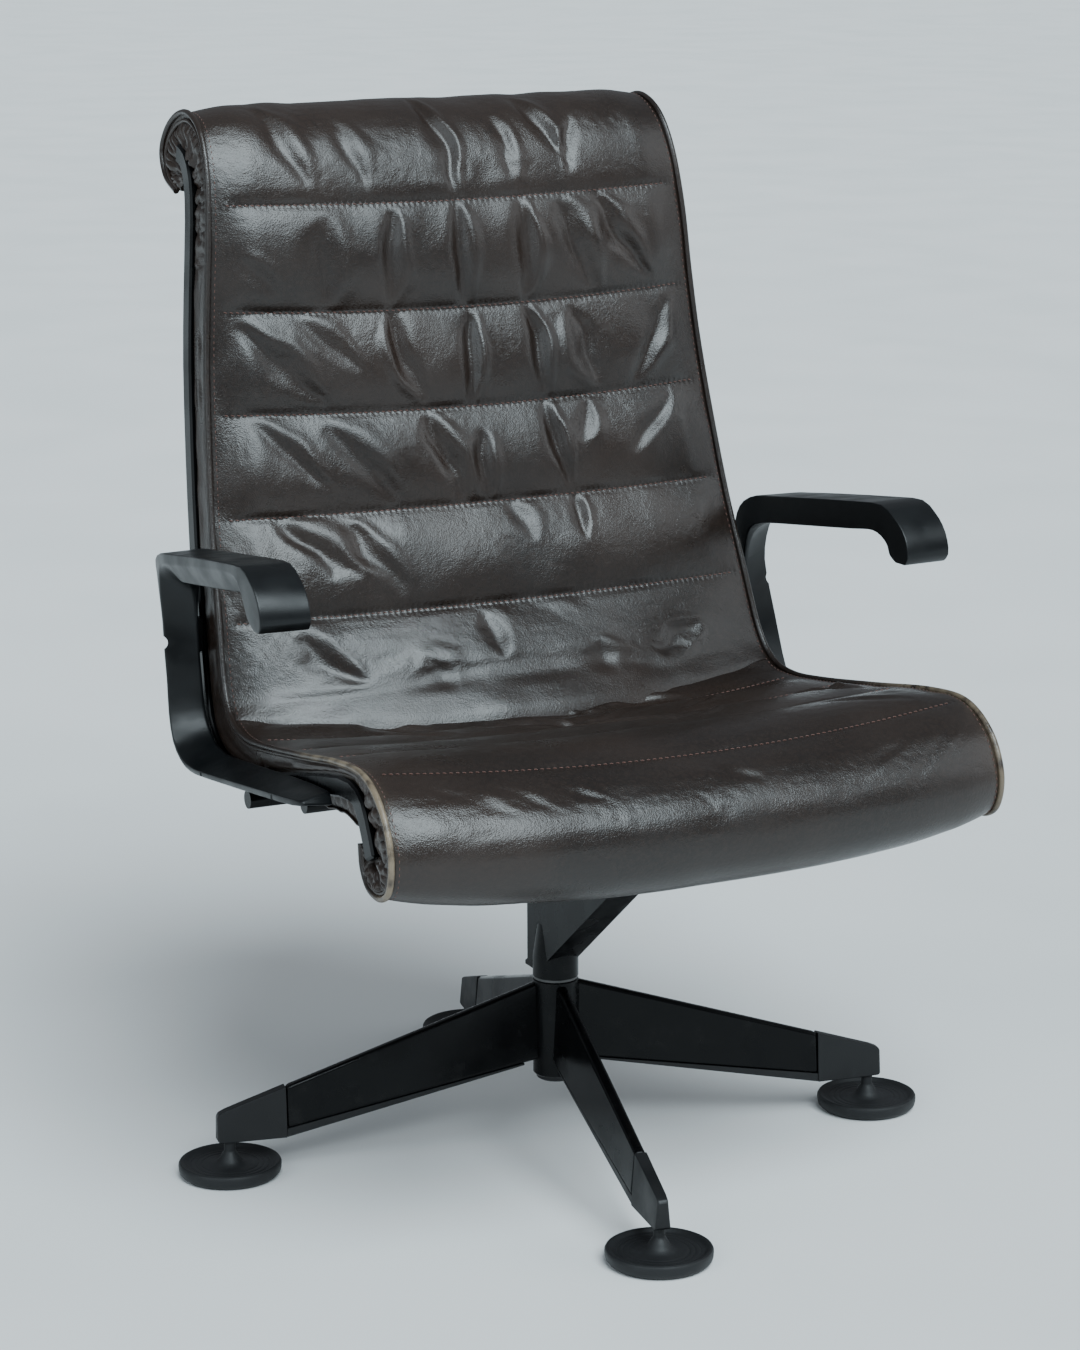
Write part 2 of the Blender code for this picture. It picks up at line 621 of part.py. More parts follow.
def make_padding():
    line = smooth_line(WELT_LINE, 2)
    inner = [p + COVER_THICK * n for p, n in zip(line, rear_normals(line))]
    back_line = stretch_of(line, lambda p: 0.470 < p[1] < 0.972 and 0.105 < p[0] < 0.3)
    seat_line = stretch_of(line, lambda p: p[1] < 0.481 and -0.172 < p[0] < 0.101)
    for name, stretch, side in (("back_pad", back_line, PAD_SIDE), ("seat_pad", seat_line, ROLL_SIDE)):
        add_part(name, layer_mesh(name, stretch, COVER_THICK, PAD_THICK, inset_by(side)), "leather")
    shell_near = PAD_THICK + GAP * 2
    shell_far = shell_near + SHELL_THICK
    back_board = stretch_of(line, lambda p: 0.500 < p[1] < 0.950 and 0.1 < p[0] < 0.3)
    seat_board = stretch_of(line, lambda p: p[1] < 0.478 and -0.165 < p[0] < 0.080)
    for name, stretch in (("back_shell", back_board), ("seat_shell", seat_board)):
        add_part(name, layer_mesh(name, stretch, shell_near, shell_far, inset_by(SHELL_SIDE)), "plywood")
    cover_near = shell_far + GAP * 2
    add_part("rear_cover", layer_mesh("rear_cover", back_board, cover_near, cover_near + COVER_THICK,
                                      inset_by(RAIL_WIDTH + 0.002)), "leather")
    top_roll = stretch_of(inner, lambda p: p[1] > 0.960 and (p[0] > 0.3 or p[1] > 0.980))
    make_roll("top_roll", top_roll + [Vector((0.286, 0.980)), Vector((0.300, 0.966))], TOP_TUBE)
    front_roll = stretch_of(inner, lambda p: p[0] < -0.172 and (p[0] < -0.240 or p[1] > 0.46))
    make_roll("front_roll", front_roll + [Vector((-0.176, 0.4375))], FRONT_TUBE)
    under = smooth_line([(-0.132, 0.4280), (-0.176, 0.4330), (-0.215, 0.4280), (-0.241, 0.4215)])
    cover = add_part("under_cover", layer_mesh("under_cover", under, 0, COVER_THICK, inset_by(ROLL_SIDE)),
                     "leather")
    notch = [(-0.212, 0.400), (-0.110, 0.400), (-0.110, 0.450), (-0.212, 0.450)]
    cut(cover, cutter("bracket_notch", side_plate("bracket_notch", notch, -0.068, 0.068)))


def make_welts():
    for name, side in (("welt_left", -1), ("welt_right", 1)):
        points = [(side * (half_width(p[0], p[1]) - WELT_INSET), p[0], p[1])
                  for p in smooth_line(WELT_LINE, 1)]
        add_part(name, tube_mesh(name, points, WELT_RADIUS, 1), "leather")


def arm_rings():
    """Rings of the right arm: smooth lines run through the stations' points."""
    lines = [smooth_line([row[k] for row in ARM_STATIONS], 2) for k in range(4)]
    sizes = smooth_line([row[4:] for row in ARM_STATIONS], 2)
    rings = []
    for outside, edge, ledge, inside, (width, flat) in zip(*lines, sizes):
        places = ((outside, 0), (edge, width), (ledge, width), (inside, flat), (inside, 0))
        rings.append([(arm_inner(place[0]) + offset, place[0], place[1]) for place, offset in places])
    return rings


def make_arm(name, side):
    """C-shaped band: armrest, upright and lower bar in one, with a sloped outer face."""
    rings = [[(side * x, y, z) for x, y, z in ring] for ring in arm_rings()]
    arm = add_part(name, loft_mesh(name, rings), "arm_skin")
    round_edges(arm, 0.0018, 2, 24)
    for number, (y, z, radius, direction) in enumerate(ARM_NOTCHES, 1):
        centre = (side * (arm_inner(y) + 0.037), y, z)
        aim = Vector((side * direction[0], direction[1], direction[2])).to_track_quat("Z", "Y")
        mesh = mesh_from("notch", lambda work: bmesh.ops.create_cone(
            work, cap_ends=True, segments=16, radius1=radius, radius2=radius, depth=0.08,
            matrix=Matrix.Translation(centre) @ aim.to_matrix().to_4x4()))
        cut(arm, cutter(f"{name}_notch_{number}", mesh))


def make_arm_lugs(name, side):
    """Two round spacers to the rail on the lower bar and a block lug on the upright."""
    rail_face = RAIL_PROUD + 0.0004
    for number, (y, z) in enumerate(((0.070, 0.4125), (-0.120, 0.4430)), 1):
        low = half_width(y, z) + rail_face
        high = arm_inner(y + SPACER_RADIUS + 0.0005) - GAP
        mesh = tube_mesh("spacer", [(side * low, y, z), (side * high, y, z)], SPACER_RADIUS, 4)
        add_part(f"{name}_spacer_{number}", mesh, "black_steel")
    block = [(0.178, 0.514), (0.200, 0.508), (0.206, 0.516), (0.206, 0.540), (0.200, 0.548), (0.178, 0.548)]
    low = half_width(0.2, 0.508) + rail_face
    high = arm_inner(0.206) - GAP
    x_low, x_high = sorted((side * low, side * high))
    add_part(f"{name}_lug", side_plate("lug", block, x_low, x_high), "black_steel")


def make_chair():
    make_base()
    swivel_axis = add_empty("swivel_axis", (0, 0, 0))
    make_column(swivel_axis)
    make_housing(swivel_axis)
    make_pivot_bushes(swivel_axis)
    make_spring(swivel_axis)
    tilt_axis = add_empty("tilt_axis", (0, PIVOT_Y, PIVOT_Z))
    tilt_axis.rotation_euler = (-PLATE_SLOPE, 0, 0)
    make_tilt_frame(tilt_axis)
    make_crossbars()
    make_rails()
    make_roll_tubes()
    make_padding()
    make_welts()
    for name, side in (("arm_left", -1), ("arm_right", 1)):
        make_arm(name, side)
        make_arm_lugs(name, side)


make_chair()
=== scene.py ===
"""Looks of the swivel lounge chair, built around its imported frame.

Metres, +Z up; the chair faces -Y. The upholstery follows one seam outline in the Y-Z plane:
from behind the head roll, over its crest, down the back, along the seat and round the front
roll. Cushions, piping and side strips are placed by their distance along that outline.
"""

import json
import math

import bmesh
import bpy
import numpy as np
from mathutils import Matrix, Vector


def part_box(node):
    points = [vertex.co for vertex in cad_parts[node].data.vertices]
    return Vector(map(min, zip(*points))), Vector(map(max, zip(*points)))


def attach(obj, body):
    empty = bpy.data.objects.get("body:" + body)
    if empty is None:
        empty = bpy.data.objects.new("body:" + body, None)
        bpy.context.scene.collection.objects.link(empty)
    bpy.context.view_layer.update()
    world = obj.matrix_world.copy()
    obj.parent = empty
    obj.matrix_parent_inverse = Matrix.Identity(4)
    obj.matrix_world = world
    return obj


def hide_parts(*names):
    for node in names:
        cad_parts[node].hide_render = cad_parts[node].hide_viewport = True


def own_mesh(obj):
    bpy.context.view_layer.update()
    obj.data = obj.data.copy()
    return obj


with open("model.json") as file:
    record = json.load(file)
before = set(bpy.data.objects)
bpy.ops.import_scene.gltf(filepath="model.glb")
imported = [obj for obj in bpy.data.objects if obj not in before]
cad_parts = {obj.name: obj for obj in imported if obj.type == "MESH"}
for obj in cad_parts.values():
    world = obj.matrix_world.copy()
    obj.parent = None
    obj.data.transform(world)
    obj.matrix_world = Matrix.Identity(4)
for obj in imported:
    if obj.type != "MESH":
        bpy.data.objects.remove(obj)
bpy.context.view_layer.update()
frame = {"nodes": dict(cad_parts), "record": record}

SCENE = bpy.context.scene

# Seat body: the frame's outlines, as (y, z) in millimetres, and its widths. It narrows up the back
# above FOLD_Z and widens to the front of FOLD_Y, both per metre.
SEAM_OUTLINE = [
    (330, 961), (362, 974), (377, 998), (365, 1022), (338, 1038), (306, 1041), (272, 1025), (248, 988),
    (234, 930), (228, 860), (219, 790), (200, 705), (176, 620), (148, 545), (126, 488), (100, 459),
    (60, 450), (0, 455), (-100, 470), (-200, 486), (-262, 487), (-303, 464), (-322, 428), (-317, 396),
    (-296, 382), (-268, 384), (-252, 400), (-248, 422),
]
RAIL_OUTLINE = [
    (330, 1000), (312, 994), (296, 974), (286, 935), (279, 860), (270, 790), (250, 700), (226, 612),
    (198, 530), (174, 470), (150, 430), (115, 411), (60, 408), (0, 420), (-100, 443), (-200, 464),
    (-240, 463), (-258, 446), (-275, 414),
]
SEAT_HALF = 0.311
BACK_TAPER = 0.083
SEAT_FLARE = 0.0357
FOLD_Y = 0.080
FOLD_Z = 0.450
RAIL_INNER = 0.011  # the rail's inner face, inside the seat body's half-width
WELT_INSET = 0.0022
WELT_RADIUS = 0.0031
COVER_EDGE = 0.0035  # the cover stops under the welt
RAIL_DEPTH_HALF = 0.010  # half the rail's depth, square to its centre line

SIDES = ((-1, "left"), (1, "right"))
ACROSS, UPWARD = (1.0, 0.0, 0.0), (0.0, 0.0, 1.0)

SIDE_THICKNESS = 0.0014
REAR_THICKNESS = 0.0016
UNDER_THICKNESS = 0.0018

# Quilting: seam heights on the back, seam places on the seat, both at the side edges
BACK_SEAMS = [0.954, 0.849, 0.747, 0.644, 0.545]
SEAT_SEAMS = [0.045, -0.055, -0.153, -0.258]
SEAM_MARGIN = 0.017  # the seams end this far inside the edge
END_RISE = 0.45  # share of a panel's rise that the cover has before its first seam and past its last,
END_REACH = 0.014  # and how fast it comes up to that
CELL = 0.0056  # spacing of the cover's grid before it is refined
STITCH_PITCH = 0.0064
PUCKER_REACH = 0.0028


# ---- outlines

def smooth_line(points, steps):
    """A Catmull-Rom curve through the points, with steps pieces to each span."""
    p = np.array(points, float)
    p = np.vstack([2 * p[0] - p[1], p, 2 * p[-1] - p[-2]])
    t = np.linspace(0, 1, steps, endpoint=False)[:, None]
    spans = []
    for a, b, c, d in zip(p, p[1:], p[2:], p[3:]):
        square = (2 * a - 5 * b + 4 * c - d) * t ** 2
        cube = (3 * b - a - 3 * c + d) * t ** 3
        spans.append(0.5 * (2 * b + (c - a) * t + square + cube))
    return np.vstack(spans + [p[-2:-1]])


def distances(points):
    """How far along the line through the points each of them lies."""
    return np.concatenate([[0.0], np.cumsum(np.linalg.norm(np.diff(points, axis=0), axis=1))])


def read_at(s, reach, values):
    """Rows of values at distances s, from rows at the distances reach."""
    return np.stack([np.interp(s, reach, column) for column in values.T], -1)


class Outline:
    """A (y, z) line that is read by the distance along it."""

    def __init__(self, points, steps=16):
        self.points = smooth_line(points, steps)
        self.reach = distances(self.points)
        self.length = self.reach[-1]

    def at(self, s):
        """(y, z) at distances along the line."""
        return read_at(s, self.reach, self.points)

    def outward(self, s, step=0.006):
        """Unit normals in front of the back and above the seat."""
        along = unit(self.at(np.minimum(s + step, self.length)) - self.at(np.maximum(s - step, 0.0)))
        return np.stack([along[..., 1], -along[..., 0]], -1)

    def nearest(self, y, z, after=0.0):
        """Distance along the line of its point nearest to a place, past the given distance."""
        gap = np.hypot(self.points[:, 0] - y, self.points[:, 1] - z) + 9.0 * (self.reach < after)
        return self.reach[np.argmin(gap)]


SEAM = Outline(np.array(SEAM_OUTLINE) / 1000)
RAIL = Outline(np.array(RAIL_OUTLINE) / 1000)
CREST = SEAM.nearest(0.306, 1.041)
CREASE = SEAM.nearest(0.104, 0.462, CREST)


def on_back(z):
    """Distance along the seam outline of a height on the back."""
    stretch = (SEAM.reach > CREST) & (SEAM.reach < CREASE)
    return np.interp(-z, -SEAM.points[stretch, 1], SEAM.reach[stretch])


def on_seat(y):
    """Distance along the seam outline of a place on the seat, before the front roll turns under."""
    stretch = (SEAM.reach > CREASE) & (SEAM.reach < SEAM.nearest(-0.322, 0.428))
    return np.interp(-y, -SEAM.points[stretch, 0], SEAM.reach[stretch])


def half_width(yz):
    """Half the seat body's width: it narrows up the back and widens towards the front."""
    y, z = yz[..., 0], yz[..., 1]
    back = SEAT_HALF - BACK_TAPER * np.maximum(0.0, z - FOLD_Z)
    return np.where(y > FOLD_Y, back, SEAT_HALF + SEAT_FLARE * (FOLD_Y - y))


def joined(x, yz):
    """Points from their x and their (y, z)."""
    return np.concatenate([x[..., None], yz], -1)


def unit(vectors):
    return vectors / np.linalg.norm(vectors, axis=-1, keepdims=True)


def ease(t):
    """A smooth step from 0 to 1."""
    t = np.clip(t, 0.0, 1.0)
    return t * t * (3 - 2 * t)


# ---- meshes

def new_object(name, data):
    item = bpy.data.objects.new(name, data)
    SCENE.collection.objects.link(item)
    return item


def mesh_of(name, points, faces, sharp=40):
    """A mesh that is shaded smooth, except along edges sharper than an angle in degrees."""
    mesh = bpy.data.meshes.new(name)
    mesh.from_pydata([tuple(p) for p in points], [], faces)
    mesh.shade_smooth()
    mesh.set_sharp_from_angle(angle=math.radians(sharp))
    return mesh


def grid_faces(rows, columns, wrap=False, start=0):
    """Quads between the points of a grid; wrap joins the last column to the first."""
    faces = []
    across = columns if wrap else columns - 1
    for row in range(start, start + (rows - 1) * columns, columns):
        for i in range(across):
            k = (i + 1) % columns
            faces.append((row + i, row + columns + i, row + columns + k, row + k))
    return faces


def closed_body(name, points, faces, sharp, material):
    """A closed mesh with its faces turned outward."""
    item = new_object(name, mesh_of(name, points, faces, sharp))
    work = bmesh.new()
    work.from_mesh(item.data)
    bmesh.ops.recalc_face_normals(work, faces=work.faces)
    work.to_mesh(item.data)
    work.free()
    item.data.materials.append(material)
    return item


def set_values(item, label, values):
    """Stores a value for each point of a mesh, for its material to read."""
    stored = item.data.attributes.new(label, "FLOAT", "POINT")
    stored.data.foreach_set("value", values.astype(np.float32))


def solid_sheet(name, grid, thickness, material, faces=None):
    """A grid of points given a thickness behind its faces."""
    faces = faces or grid_faces(*grid.shape[:2])
    item = new_object(name, mesh_of(name, grid.reshape(-1, 3), faces))
    item.data.materials.append(material)
    solid = item.modifiers.new("thickness", "SOLIDIFY")
    solid.thickness = thickness
    solid.offset = -1
    return item


def tube_points(path, radius, sides, reference):
    """Rings round a path; reference gives a direction that the path never takes."""
    along = unit(np.gradient(path, axis=0))
    side = unit(np.cross(along, reference))
    up = np.cross(side, along)
    turn = np.arange(sides) * 2 * math.pi / sides
    ring = side[:, None] * np.cos(turn)[None, :, None] + up[:, None] * np.sin(turn)[None, :, None]
    return path[:, None] + ring * np.broadcast_to(radius, len(path))[:, None, None]


def tube_faces(count, sides, start=0):
    """Faces round a number of rings, and one across each end."""
    faces = grid_faces(count, sides, wrap=True, start=start)
    faces.append(tuple(start + i for i in range(sides)))
    faces.append(tuple(start + (count - 1) * sides + i for i in reversed(range(sides))))
    return faces


def tube(name, path, radius, reference, material, sides=10):
    """A closed round tube along a path."""
    rings = tube_points(path, radius, sides, reference)
    return closed_body(name, rings.reshape(-1, 3), tube_faces(len(path), sides), 60, material)


# ---- materials

class Shader:
    """Short names for building one Principled material."""

    def __init__(self, name, colour, roughness, **values):
        self.material = bpy.data.materials.new(name)
        self.material.use_nodes = True
        self.tree = self.material.node_tree
        self.main = self.tree.nodes["Principled BSDF"]
        values.update(Base_Color=(*colour, 1.0), Roughness=roughness)
        for key, value in values.items():
            self.main.inputs[key.replace("_", " ")].default_value = value
        self.place = self.node("ShaderNodeTexCoord").outputs["Object"]
        self.bumped = None

    def node(self, kind, inputs=None, **settings):
        made = self.tree.nodes.new(kind)
        for key, value in settings.items():
            setattr(made, key, value)
        for key, value in (inputs or {}).items():
            self.feed(made.inputs[key], value)
        return made

    def feed(self, socket, value):
        if isinstance(value, bpy.types.NodeSocket):
            self.tree.links.new(value, socket)
        else:
            socket.default_value = value

    def math(self, operation, a, b=0.0):
        return self.node("ShaderNodeMath", {0: a, 1: b}, operation=operation).outputs[0]

    def times(self, a, b):
        return self.math("MULTIPLY", a, b)

    def noise(self, scale, detail=3.0, distortion=0.0, place=None, roughness=0.5):
        inputs = {"Vector": place or self.place, "Scale": scale, "Detail": detail,
                  "Distortion": distortion, "Roughness": roughness}
        return self.node("ShaderNodeTexNoise", inputs).outputs["Fac"]

    def cells(self, scale, feature="F1", place=None):
        inputs = {"Vector": place or self.place, "Scale": scale}
        return self.node("ShaderNodeTexVoronoi", inputs, feature=feature).outputs["Distance"]

    def stretched(self, x, y, z):
        return self.node("ShaderNodeMapping", {"Vector": self.place, "Scale": (x, y, z)}).outputs[0]

    def warped(self, amount, scale):
        """The place, pushed about by a noise."""
        colour = self.node("ShaderNodeTexNoise", {"Vector": self.place, "Scale": scale}).outputs["Color"]
        centred = {0: colour, 1: (0.5, 0.5, 0.5)}
        shift = self.node("ShaderNodeVectorMath", centred, operation="SUBTRACT").outputs[0]
        scaled = self.node("ShaderNodeVectorMath", {0: shift, "Scale": amount}, operation="SCALE").outputs[0]
        return self.node("ShaderNodeVectorMath", {0: self.place, 1: scaled}, operation="ADD").outputs[0]

    def band(self, value, low, high, to_low=0.0, to_high=1.0):
        """Maps low..high smoothly to to_low..to_high."""
        inputs = {"Value": value, "From Min": low, "From Max": high, "To Min": to_low, "To Max": to_high}
        return self.node("ShaderNodeMapRange", inputs, interpolation_type="SMOOTHSTEP").outputs[0]

    def mix(self, amount, a, b):
        made = self.node("ShaderNodeMix", data_type="RGBA")
        self.feed(made.inputs["Factor"], amount)
        for key, value in (("A", a), ("B", b)):
            socket = [s for s in made.inputs if s.name == key and s.type == "RGBA"][0]
            self.feed(socket, (*value, 1.0) if isinstance(value, tuple) else value)
        return [s for s in made.outputs if s.type == "RGBA"][0]

    def attribute(self, name):
        return self.node("ShaderNodeAttribute", attribute_name=name).outputs["Fac"]

    def bump(self, height, distance, strength=1.0):
        """Adds a height in units of distance, in metres."""
        inputs = {"Height": height, "Distance": distance, "Strength": strength}
        if self.bumped is not None:
            inputs["Normal"] = self.bumped
        self.bumped = self.node("ShaderNodeBump", inputs).outputs["Normal"]
        self.feed(self.main.inputs["Normal"], self.bumped)

    def colour(self, value):
        self.feed(self.main.inputs["Base Color"], value)

    def roughness(self, value):
        self.feed(self.main.inputs["Roughness"], value)


DARK_BROWN = (0.0085, 0.0052, 0.0038)
WARM_BROWN = (0.0185, 0.0112, 0.0082)
RUBBED_TAN = (0.20, 0.155, 0.105)
LEATHER_ROUGHNESS = (0.26, 0.37)


def leather_material(name, quilted=False, piped=False, tone=1.0, shine=0.54):
    """Aged aniline leather: fine grain, crease lines with painted shade in them, cloudy colour and a satin
    polish.

    Quilted leather has puckers and painted shade beside its seams, and quilted and piped leather has rubbed
    places, all from attributes of the mesh.
    """
    shader = Shader(name, WARM_BROWN, LEATHER_ROUGHNESS[1], Specular_IOR_Level=shine)
    dark = tuple(c * tone for c in DARK_BROWN)
    warm = tuple(c * tone for c in WARM_BROWN)
    cloud = shader.band(shader.noise(5.0, 5.0, 0.4), 0.35, 0.70)
    base = shader.mix(cloud, dark, warm)
    fine = shader.band(shader.noise(260.0, 2.0), 0.35, 0.75)
    base = shader.mix(shader.times(fine, 0.35), base, tuple(c * 1.5 for c in warm))
    pores = shader.cells(760.0, place=shader.warped(0.0012, 300.0))
    wrinkles = shader.cells(75.0, "DISTANCE_TO_EDGE", shader.warped(0.020, 22.0))
    lines = shader.band(wrinkles, 0.0, 0.060, 1.0, 0.0)
    patch = shader.band(shader.noise(8.0, 2.0), 0.46, 0.66)
    creases = shader.times(lines, shader.band(patch, 0.0, 1.0, 0.15, 0.8))
    # painted shade: the crease lines are darkened in the base colour
    base = shader.mix(shader.times(creases, 0.5), base, tuple(c * 0.45 for c in dark))
    if quilted or piped:
        worn = shader.attribute("worn")
        rubbed = shader.times(worn, shader.band(shader.noise(60.0, 4.0), 0.30, 0.60))
        base = shader.mix(rubbed, base, RUBBED_TAN)
    if quilted:
        near = shader.attribute("seam_near")
        tucks = shader.times(shader.math("SINE", shader.attribute("stitch_phase")), near)
        shader.bump(tucks, 0.0004, 0.6)
        # painted shade: the leather is darkened beside the seams, in their grooves
        base = shader.mix(shader.times(near, 0.35), base, tuple(c * 0.5 for c in dark))
    shader.colour(base)
    shader.roughness(shader.band(shader.noise(14.0, 4.0), 0.30, 0.72, *LEATHER_ROUGHNESS))
    shader.bump(shader.noise(42.0, 3.0), 0.0011, 0.35)
    shader.bump(creases, 0.0005, -0.30)
    shader.bump(shader.noise(330.0, 3.0, roughness=0.6), 0.00050, 0.60)
    shader.bump(pores, 0.00030, 0.50)
    return shader.material


def thread_material():
    """Twisted reddish-brown thread."""
    shader = Shader("thread", (0.095, 0.030, 0.020), 0.62, Sheen_Weight=0.2)
    shader.colour(shader.mix(shader.noise(180.0, 2.0), (0.055, 0.019, 0.013), (0.155, 0.062, 0.044)))
    twist = shader.node("ShaderNodeTexWave", {"Vector": shader.place, "Scale": 900.0, "Distortion": 1.0},
                        bands_direction="DIAGONAL").outputs["Fac"]
    shader.bump(twist, 0.0002, 0.6)
    return shader.material


def painted_steel():
    """Black enamel over steel: slight orange peel, dust and an uneven polish."""
    black, grey_dust = (0.0018, 0.0018, 0.0021), (0.030, 0.029, 0.028)
    shader = Shader("black_enamel", black, 0.24, Specular_IOR_Level=0.14)
    dust = shader.band(shader.noise(34.0, 6.0, roughness=0.65), 0.52, 0.80)
    shader.colour(shader.mix(shader.times(dust, 0.22), black, grey_dust))
    shader.roughness(shader.band(shader.noise(22.0, 5.0), 0.30, 0.75, 0.18, 0.34))
    shader.bump(shader.noise(420.0, 2.0), 0.00008, 0.35)
    return shader.material


def moulded_plastic(name, colour, roughness, grain=900.0, depth=0.00012, wave=0.15):
    """Black moulded plastic with a spark-eroded grain and grey rub marks."""
    shader = Shader(name, colour, roughness, Specular_IOR_Level=0.34)
    scuff = shader.band(shader.noise(48.0, 6.0, roughness=0.7), 0.55, 0.78)
    lighter = tuple(c * 3.2 + 0.008 for c in colour)
    shader.colour(shader.mix(shader.times(scuff, 0.30), colour, lighter))
    shader.roughness(shader.band(shader.noise(30.0, 4.0), 0.3, 0.7, roughness - 0.06, roughness + 0.08))
    shader.bump(shader.cells(grain, "SMOOTH_F1"), depth, 0.6)
    if wave:
        shader.bump(shader.noise(16.0, 2.0), 0.0006, wave)
    return shader.material


def bare_steel(name, colour, roughness):
    """Bare metal with fine marks from turning round a vertical axis."""
    shader = Shader(name, colour, roughness, Metallic=1.0)
    marks = shader.noise(3.0, 4.0, place=shader.stretched(6.0, 6.0, 900.0))
    shader.roughness(shader.band(marks, 0.2, 0.8, roughness - 0.08, roughness + 0.10))
    shader.colour(shader.mix(shader.noise(25.0, 4.0), colour, tuple(c * 0.7 for c in colour)))
    return shader.material


def plywood_material():
    """Moulded plywood, with its grain along the board."""
    shader = Shader("moulded_plywood", (0.40, 0.26, 0.15), 0.55)
    grain = shader.noise(9.0, 6.0, 0.6, place=shader.stretched(14.0, 1.0, 1.0))
    shader.colour(shader.mix(shader.band(grain, 0.3, 0.7), (0.24, 0.145, 0.075), (0.47, 0.32, 0.19)))
    shader.bump(grain, 0.0003, 0.4)
    return shader.material


def nylon_material():
    """Dark grey nylon of the bushes and washers."""
    shader = Shader("nylon_bush", (0.06, 0.06, 0.06), 0.45)
    shader.colour(shader.mix(shader.noise(40.0, 3.0), (0.045, 0.045, 0.044), (0.085, 0.083, 0.080)))
    shader.bump(shader.noise(300.0, 2.0), 0.00006, 0.5)
    return shader.material


LEATHER = leather_material("quilted_leather", quilted=True)
SIDE_LEATHER = leather_material("side_leather", tone=1.4, shine=0.42)
PIPING_LEATHER = leather_material("piping_leather", piped=True)
BACK_LEATHER = leather_material("backing_leather", tone=1.1, shine=0.22)
THREAD = thread_material()
ENAMEL = painted_steel()
ARM_SKIN = moulded_plastic("arm_skin", (0.0024, 0.0030, 0.0036), 0.36, 1100.0, 0.00008, wave=0.0)
CAP_PLASTIC = moulded_plastic("cap_plastic", (0.0060, 0.0060, 0.0066), 0.46)
GLIDE_PLASTIC = moulded_plastic("glide_plastic", (0.0090, 0.0092, 0.0100), 0.54, 700.0, 0.00018)
STEEL = bare_steel("bright_steel", (0.56, 0.56, 0.57), 0.28)
SPRING_STEEL = bare_steel("spring_steel", (0.20, 0.20, 0.21), 0.34)
NYLON = nylon_material()
RUBBER = moulded_plastic("stop_rubber", (0.018, 0.018, 0.018), 0.75, 500.0)
PLYWOOD = plywood_material()


# ---- quilted cushions

def curve_of(pairs):
    """A smooth function through (distance, value) pairs."""
    line = smooth_line(list(pairs), 10)
    return lambda s: np.interp(s, line[:, 0], line[:, 1])


def row_places(breaks):
    """Distances of the grid's rows, with a row on each break, and the breaks' row numbers."""
    places, marks = [breaks[0]], [0]
    for low, high in zip(breaks, breaks[1:]):
        count = max(2, round((high - low) / CELL))
        places += list(np.linspace(low, high, count + 1)[1:])
        marks.append(len(places) - 1)
    return np.array(places), marks


def doubled(grid):
    """The grid with a smooth new row between each two rows."""
    wide = np.concatenate([2 * grid[:1] - grid[1:2], grid, 2 * grid[-1:] - grid[-2:-1]])
    between = (-wide[:-3] + 9 * wide[1:-2] + 9 * wide[2:-1] - wide[3:]) / 16
    out = np.empty((2 * len(grid) - 1, *grid.shape[1:]))
    out[0::2] = grid
    out[1::2] = between
    return out


def grid_normals(grid):
    return unit(np.cross(np.gradient(grid, axis=0), np.gradient(grid, axis=1)))


def cut_pattern(grid, extra_across, extra_along):
    """The leather laid flat: its true lengths, with some to spare each way."""
    across = np.linalg.norm(np.diff(grid, axis=1), axis=-1)
    along = np.linalg.norm(np.diff(grid, axis=0), axis=-1)
    flat = np.zeros_like(grid)
    flat[:, 1:, 0] = np.cumsum(across * (1 + extra_across[:, 1:]), axis=1)
    flat[..., 0] -= flat[:, -1:, 0] / 2
    flat[1:, :, 1] = -np.cumsum(along.mean(1, keepdims=True) * (1 + extra_along[1:]), axis=0)
    return flat


LEATHER_CLOTH = {
    "quality": 7, "mass": 0.0006, "air_damping": 6, "use_pressure": True, "tension_stiffness": 25,
    "compression_stiffness": 25, "shear_stiffness": 12, "bending_stiffness": 0.9,
}


def puffed(grid, pinned, pattern, frames=22, pressure=4.0, cap=0.020):
    """Cloth simulation of a cover that is sewn down at its pinned points."""
    sheet = new_object("cloth", mesh_of("cloth", grid.reshape(-1, 3), grid_faces(*grid.shape[:2])))
    sheet.shape_key_add(name="Basis")
    key = sheet.shape_key_add(name="pattern")
    key.data.foreach_set("co", pattern.astype(np.float32).ravel())
    pins = sheet.vertex_groups.new(name="pins")
    pins.add([int(i) for i in np.flatnonzero(pinned.ravel())], 1.0, "REPLACE")
    cloth = sheet.modifiers.new("cloth", "CLOTH")
    rules = dict(LEATHER_CLOTH, rest_shape_key=key, vertex_group_mass="pins", uniform_pressure_force=pressure)
    for rule, value in rules.items():
        setattr(cloth.settings, rule, value)
    cloth.settings.effector_weights.gravity = 0
    cloth.collision_settings.use_collision = False
    cloth.point_cache.frame_start = 1
    cloth.point_cache.frame_end = frames
    for step in range(1, frames + 1):
        SCENE.frame_set(step)  # each frame needs the one before it
    shaped = sheet.evaluated_get(bpy.context.evaluated_depsgraph_get())
    points = np.empty(grid.size, np.float32)
    shaped.data.vertices.foreach_get("co", points)
    SCENE.frame_set(1)
    bpy.data.objects.remove(sheet, do_unlink=True)
    moved = points.reshape(grid.shape).astype(float) - grid
    far = np.linalg.norm(moved, axis=-1, keepdims=True)
    return grid + moved * np.minimum(1.0, cap / np.maximum(far, 1e-9))


def blend(values, j, i, a, b):
    """Values of a grid past its point (j, i): a share a of the way down and b of the way across."""
    upper = (1 - b) * values[j, i] + b * values[j, i + 1]
    lower = (1 - b) * values[j + 1, i] + b * values[j + 1, i + 1]
    return (1 - a) * upper + a * lower


